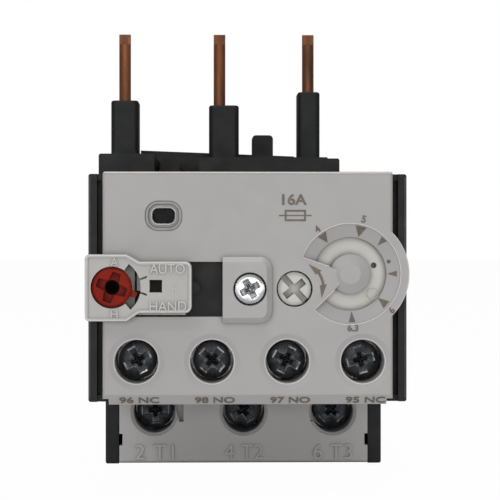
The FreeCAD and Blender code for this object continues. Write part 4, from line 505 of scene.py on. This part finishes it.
# painted highlights: fine bright edges along the ring's foot, the bridge's two sides and the lobe
bridge = {"high": 160.8, "low": -135.1, "hub": 2.85, "lobe": 8.27, "lobeHalf": 42}
ringPath = [around(dial, ring["foot"], bridge["low"] + (bridge["high"] - bridge["low"]) * step / 96)
            for step in range(97)]
edgeLook = {"width": 0.17, "height": 0.05}
addBead("ring_edge_line", [(x, z, 0.0) for x, z in ringPath], edgeLook, "painted_highlight_edge")
for name, angle in (("high", bridge["high"]), ("low", bridge["low"])):
    ends = [around(dial, radius, angle) for radius in (ring["foot"], bridge["hub"] + 0.3)]
    addBead("bridge_edge_" + name, [(x, z, 0.0) for x, z in ends], edgeLook, "painted_highlight_edge")
lobePath = [around(dial, bridge["lobe"], bridge["lobeHalf"] * (step / 24 - 1)) for step in range(49)]
addBead("lobe_edge_line", [(x, z, -0.02) for x, z in lobePath], {"width": 0.14, "height": 0.04}, "painted_highlight_edge")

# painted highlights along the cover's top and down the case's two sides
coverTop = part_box("front_cover")[1][2] / mm
coverHalf = (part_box("terminal_cover")[1][0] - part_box("terminal_cover")[0][0]) / 2 / mm
addBead("cover_top_line", [(-coverHalf, coverTop - 0.2, -0.02), (coverHalf, coverTop - 0.2, -0.02)],
        {"width": 0.22, "height": 0.03}, "painted_highlight_edge")
caseEdge = {"half": 22.3, "low": 13.9, "high": 45.2, "out": -1.2}
# painted highlights: lines down the case's two sides, lighter than its dark plastic
for name, side in (("left", -1), ("right", 1)):
    ends = [(side * caseEdge["half"], caseEdge[end], caseEdge["out"]) for end in ("low", "high")]
    addBead(f"case_edge_line_{name}", ends, {"width": 0.16, "height": 0.03}, "painted_highlight_case_edge")

# painted highlights: bright lips of the holes over the auxiliary screws
holeLip = {"radius": 3.2, "out": -0.27, "width": 0.18, "height": 0.04}
for name in ("96", "98", "97", "95"):
    screwMiddle = middleOf("aux_screw_" + name) / mm
    lip = [(*around((screwMiddle.x, screwMiddle.z), holeLip["radius"], step * 7.5), holeLip["out"])
           for step in range(48)]
    addBead("hole_lip_" + name, lip, holeLip, "painted_highlight_edge", "case", True)

# the mould's gate mark on the disc
gate = {"radius": 4.23, "angle": -41.5, "size": 0.8}
discFront = (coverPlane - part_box("dial_disc")[0][1]) / mm
gateMiddle = around(dial, gate["radius"], gate["angle"])
addBead("dial_gate_mark", [(*around(gateMiddle, gate["size"], step * 15), discFront) for step in range(24)],
        {"width": 0.14, "height": 0.03}, "gate_mark", "dial", True)

# the bent arrow on the bridge, drawn about the adjuster's axis
turnArrow = {"radius": 4.07, "half": 0.19, "headHalf": 0.5, "low": 8, "high": 34, "tipLow": -19,
             "tipHigh": 61}
steps = [turnArrow["low"] + (turnArrow["high"] - turnArrow["low"]) * step / 10 for step in range(11)]
outer = [around(adjuster, turnArrow["radius"] + turnArrow["half"], angle) for angle in steps]
inner = [around(adjuster, turnArrow["radius"] - turnArrow["half"], angle) for angle in reversed(steps)]
heads = []
for foot, tip in (("low", "tipLow"), ("high", "tipHigh")):
    heads.append([around(adjuster, turnArrow["radius"] - 0.06, turnArrow[tip]),
                  around(adjuster, turnArrow["radius"] + turnArrow["headHalf"], turnArrow[foot]),
                  around(adjuster, turnArrow["radius"] - turnArrow["headHalf"], turnArrow[foot])])
addPrint("turn_arrow", [outer + inner] + heads, onCover, "taupe_ink")

# fuse rating: the general fuse sign under its amperes
fuse = {"x": 6.66, "z": 39.7, "length": 3.0, "height": 1.6, "line": 0.27, "reach": 0.8,
        "text": (6.54, 41.95)}
addLettering("fuse_rating", "16A", {"place": (*fuse["text"], 0.02), "height": 1.55, "width": 3.5,
                                    "weight": 0.026}, "taupe_ink")


def bar(x0, x1, z0, z1):
    return [(x0, z0), (x1, z0), (x1, z1), (x0, z1)]


left, right = fuse["x"] - fuse["length"] / 2, fuse["x"] + fuse["length"] / 2
low, high, line = fuse["z"] - fuse["height"] / 2, fuse["z"] + fuse["height"] / 2, fuse["line"]
under, over = fuse["z"] - line / 3, fuse["z"] + line / 3      # the wire is thinner than the frame
addPrint("fuse_sign", [bar(left, right, high - line, high), bar(left, right, low, low + line),
                       bar(left, left + line, low + line, high - line),
                       bar(right - line, right, low + line, high - line),
                       bar(left - fuse["reach"], left, under, over),
                       bar(left + line, right - line, under, over),
                       bar(right, right + fuse["reach"], under, over)], onCover, "taupe_ink")

# the trip window: fine dark lines round its steps and a painted highlight for its bright lip
tripMiddle = middleOf("trip_window") / mm
tripWindow = {"lines": [(2.58, 2.08, 1.82, 0.0, "window_line"), (2.17, 1.67, 1.42, -0.2, "window_line"),
                        (1.72, 1.22, 1.0, -0.18, "painted_highlight_edge")],
              "paneDepth": 1.6, "paneHalf": (1.45, 0.95)}
for number, (halfWide, halfTall, corner, out, finish) in enumerate(tripWindow["lines"]):
    path = []
    for turn, (sideX, sideZ) in enumerate(((1, 1), (-1, 1), (-1, -1), (1, -1))):
        middle = (tripMiddle.x + sideX * (halfWide - corner), tripMiddle.z + sideZ * (halfTall - corner))
        path += [(*around(middle, corner, turn * 90 + step * 11.25), out) for step in range(9)]
    addBead(f"trip_window_line_{number + 1}", path, {"width": 0.12, "height": 0.05}, finish, "case", True)

paneSides = [(sideX * tripWindow["paneHalf"][0], sideZ * tripWindow["paneHalf"][1])
             for sideX, sideZ in ((-1, -1), (1, -1), (1, 1), (-1, 1))]
pane = [(tripMiddle.x + x, tripMiddle.z + z) for x, z in paneSides]
# painted shade: a dark pane set inside the trip window's throat
addPrint("trip_window_shade_pane", [pane], lambda x, z: -tripWindow["paneDepth"], "painted_shade_pane", rise=0.2)

# terminal numbers on the cover's bevel, and the raised ones on the terminal cover
for number, (name, text) in enumerate((("96", "96 NC"), ("98", "98 NO"), ("97", "97 NO"), ("95", "95 NC"))):
    x = middleOf(f"aux_screw_{name}").x / mm
    look = {"place": (x + 0.4, 13.68, -0.56), "height": 1.12, "width": 5.6, "lean": 37, "weight": 0.016}
    addLettering("terminal_number_" + name, text, look, "taupe_ink")
coverFront = (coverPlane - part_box("terminal_cover")[0][1]) / mm
for number, text in ((1, "2 T1"), (2, "4 T2"), (3, "6 T3")):
    x = middleOf(f"load_screw_{number}").x / mm
    look = {"place": (x, 2.03, coverFront + 0.13), "height": 2.4, "width": 6.3, "rise": 0.3, "weight": -0.004}
    # painted highlight: the raised numbers are lighter than the terminal cover's plastic
    addLettering(f"load_number_{number}", text, look, "painted_highlight_letter")

# raised words and letters of the reset unit
bezelFace = (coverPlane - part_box("reset_bezel")[0][1]) / mm - 0.15      # sunk a little inside its rim
bezel = {"left": -22.5, "shoulder": -16.93, "neck": -15.2, "right": -8.05, "top": 34.07, "low": 25.13,
         "narrowTop": 33.07, "narrowLow": 26.28, "leftRound": 0.55, "rightRound": 0.75}


def corner(x, z, radius, start):
    # a quarter of a circle, from the angle start
    return [around((x, z), radius, start + step * 22.5) for step in range(5)]


near, far = bezel["leftRound"], bezel["rightRound"]
rimPath = corner(bezel["left"] + near, bezel["top"] - near, near, 90)
rimPath += corner(bezel["left"] + near, bezel["low"] + near, near, 180)
rimPath += [(bezel["shoulder"], bezel["low"]), (bezel["neck"], bezel["narrowLow"])]
rimPath += corner(bezel["right"] - far, bezel["narrowLow"] + far, far, 270)
rimPath += corner(bezel["right"] - far, bezel["narrowTop"] - far, far, 0)
rimPath += [(bezel["neck"], bezel["narrowTop"]), (bezel["shoulder"], bezel["top"])]
# painted highlight along the bezel's raised rim
addBead("reset_rim_line", [(x, z, bezelFace + 0.13) for x, z in rimPath], {"width": 0.22, "height": 0.04},
        "painted_highlight_edge", "case", True)
resetWords = [("AUTO", -11.25, 32.24, 1.4, 4.9), ("HAND", -11.14, 27.05, 1.4, 5.1),
              ("R", -9.95, 29.47, 1.85, 1.2),
              ("A", -18.57, 33.2, 1.15, 1.05), ("H", -18.6, 25.98, 1.1, 1.0)]
for text, x, z, height, width in resetWords:
    fine = text == "R"
    look = {"place": (x, z, bezelFace + (0.0 if fine else 0.08)), "height": height, "width": width,
            "rise": 0.12 if fine else 0.26, "weight": -0.02 if fine else 0.008}
    # painted highlight: the raised letters are lighter than the bezel's plastic
    addLettering("reset_word_" + text, text, look, "painted_highlight_letter")
print("lettering made")


# Floor, light and camera
def makeFloor():
    made, tree, shader = startMaterial("studio_floor")
    shader.inputs["Base Color"].default_value = (0.86, 0.86, 0.86, 1)
    shader.inputs["Roughness"].default_value = 0.7
    glow = tree.nodes.new("ShaderNodeEmission")
    glow.inputs["Color"].default_value = (1, 1, 1, 1)
    rays = tree.nodes.new("ShaderNodeLightPath")
    share = tree.nodes.new("ShaderNodeMath")
    share.operation = "MULTIPLY"
    share.inputs[1].default_value = stage["whiteShare"]
    mix = tree.nodes.new("ShaderNodeMixShader")
    output = [node for node in tree.nodes if node.type == "OUTPUT_MATERIAL"][0]
    shown = tree.nodes.new("ShaderNodeMath")
    shown.operation = "MAXIMUM"
    tree.links.new(rays.outputs["Is Camera Ray"], shown.inputs[0])
    tree.links.new(rays.outputs["Is Transmission Ray"], shown.inputs[1])
    tree.links.new(shown.outputs[0], share.inputs[0])
    tree.links.new(share.outputs[0], mix.inputs["Fac"])
    tree.links.new(shader.outputs["BSDF"], mix.inputs[1])
    tree.links.new(glow.outputs["Emission"], mix.inputs[2])
    tree.links.new(mix.outputs["Shader"], output.inputs["Surface"])
    half = stage["floorHalf"]
    mesh = bpy.data.meshes.new("floor")
    corners = [(-half, -half, 0), (half, -half, 0), (half, half, 0), (-half, half, 0)]
    mesh.from_pydata(corners, [], [(0, 1, 2, 3)])
    mesh.materials.append(made)
    floor = bpy.data.objects.new("floor", mesh)
    bpy.context.scene.collection.objects.link(floor)


def addLamp(name, place, target, power, size):
    data = bpy.data.lights.new(name, "AREA")
    data.shape = "RECTANGLE"
    data.size, data.size_y = size
    data.energy = power
    lamp = bpy.data.objects.new(name, data)
    lamp.location = place
    lamp.rotation_mode = "QUATERNION"
    lamp.rotation_quaternion = (Vector(target) - Vector(place)).to_track_quat("-Z", "Y")
    bpy.context.scene.collection.objects.link(lamp)


def makeWorld():
    world = bpy.data.worlds.new("studio")
    bpy.context.scene.world = world
    world.use_nodes = True
    tree = world.node_tree
    tree.nodes.clear()
    rays = tree.nodes.new("ShaderNodeLightPath")
    seen = tree.nodes.new("ShaderNodeMath")
    seen.operation = "MAXIMUM"
    room = tree.nodes.new("ShaderNodeBackground")
    room.inputs["Color"].default_value = (1, 1, 1, 1)
    room.inputs["Strength"].default_value = stage["room"]
    white = tree.nodes.new("ShaderNodeBackground")
    white.inputs["Color"].default_value = (1, 1, 1, 1)
    white.inputs["Strength"].default_value = 1.0
    mix = tree.nodes.new("ShaderNodeMixShader")
    output = tree.nodes.new("ShaderNodeOutputWorld")
    tree.links.new(rays.outputs["Is Camera Ray"], seen.inputs[0])
    tree.links.new(rays.outputs["Is Transmission Ray"], seen.inputs[1])
    tree.links.new(seen.outputs[0], mix.inputs["Fac"])
    tree.links.new(room.outputs["Background"], mix.inputs[1])
    tree.links.new(white.outputs["Background"], mix.inputs[2])
    tree.links.new(mix.outputs["Shader"], output.inputs["Surface"])


stage = {"floorHalf": 6.0, "whiteShare": 0.98, "room": 0.28}
makeFloor()
makeWorld()
addLamp("front_softbox", (-0.1, -0.75, 0.2), (0, 0, 0.03), 0.42, (0.6, 0.36))
addLamp("low_softbox", (0.02, -0.6, 0.06), (0, 0, 0.02), 0.9, (0.7, 0.1))
addLamp("key_softbox", (-0.3, -0.5, 0.42), (0, 0, 0.03), 0.5, (0.12, 0.12))
addLamp("top_softbox", (0.02, -0.12, 0.6), (0, 0, 0.03), 1.55, (0.5, 0.25))
print("floor, light and room made")

view = {"place": (-0.0045, -0.2485, 0.03485), "yaw": -1.274, "lens": 110.1}
cameraData = bpy.data.cameras.new("camera")
cameraData.lens = view["lens"]
cameraData.sensor_width = 36
cameraData.clip_start = 0.01
camera = bpy.data.objects.new("camera", cameraData)
camera.location = view["place"]
camera.rotation_euler = (math.radians(90), 0, math.radians(view["yaw"]))
bpy.context.scene.collection.objects.link(camera)
bpy.context.scene.camera = camera
bpy.context.scene.view_settings.view_transform = "Standard"
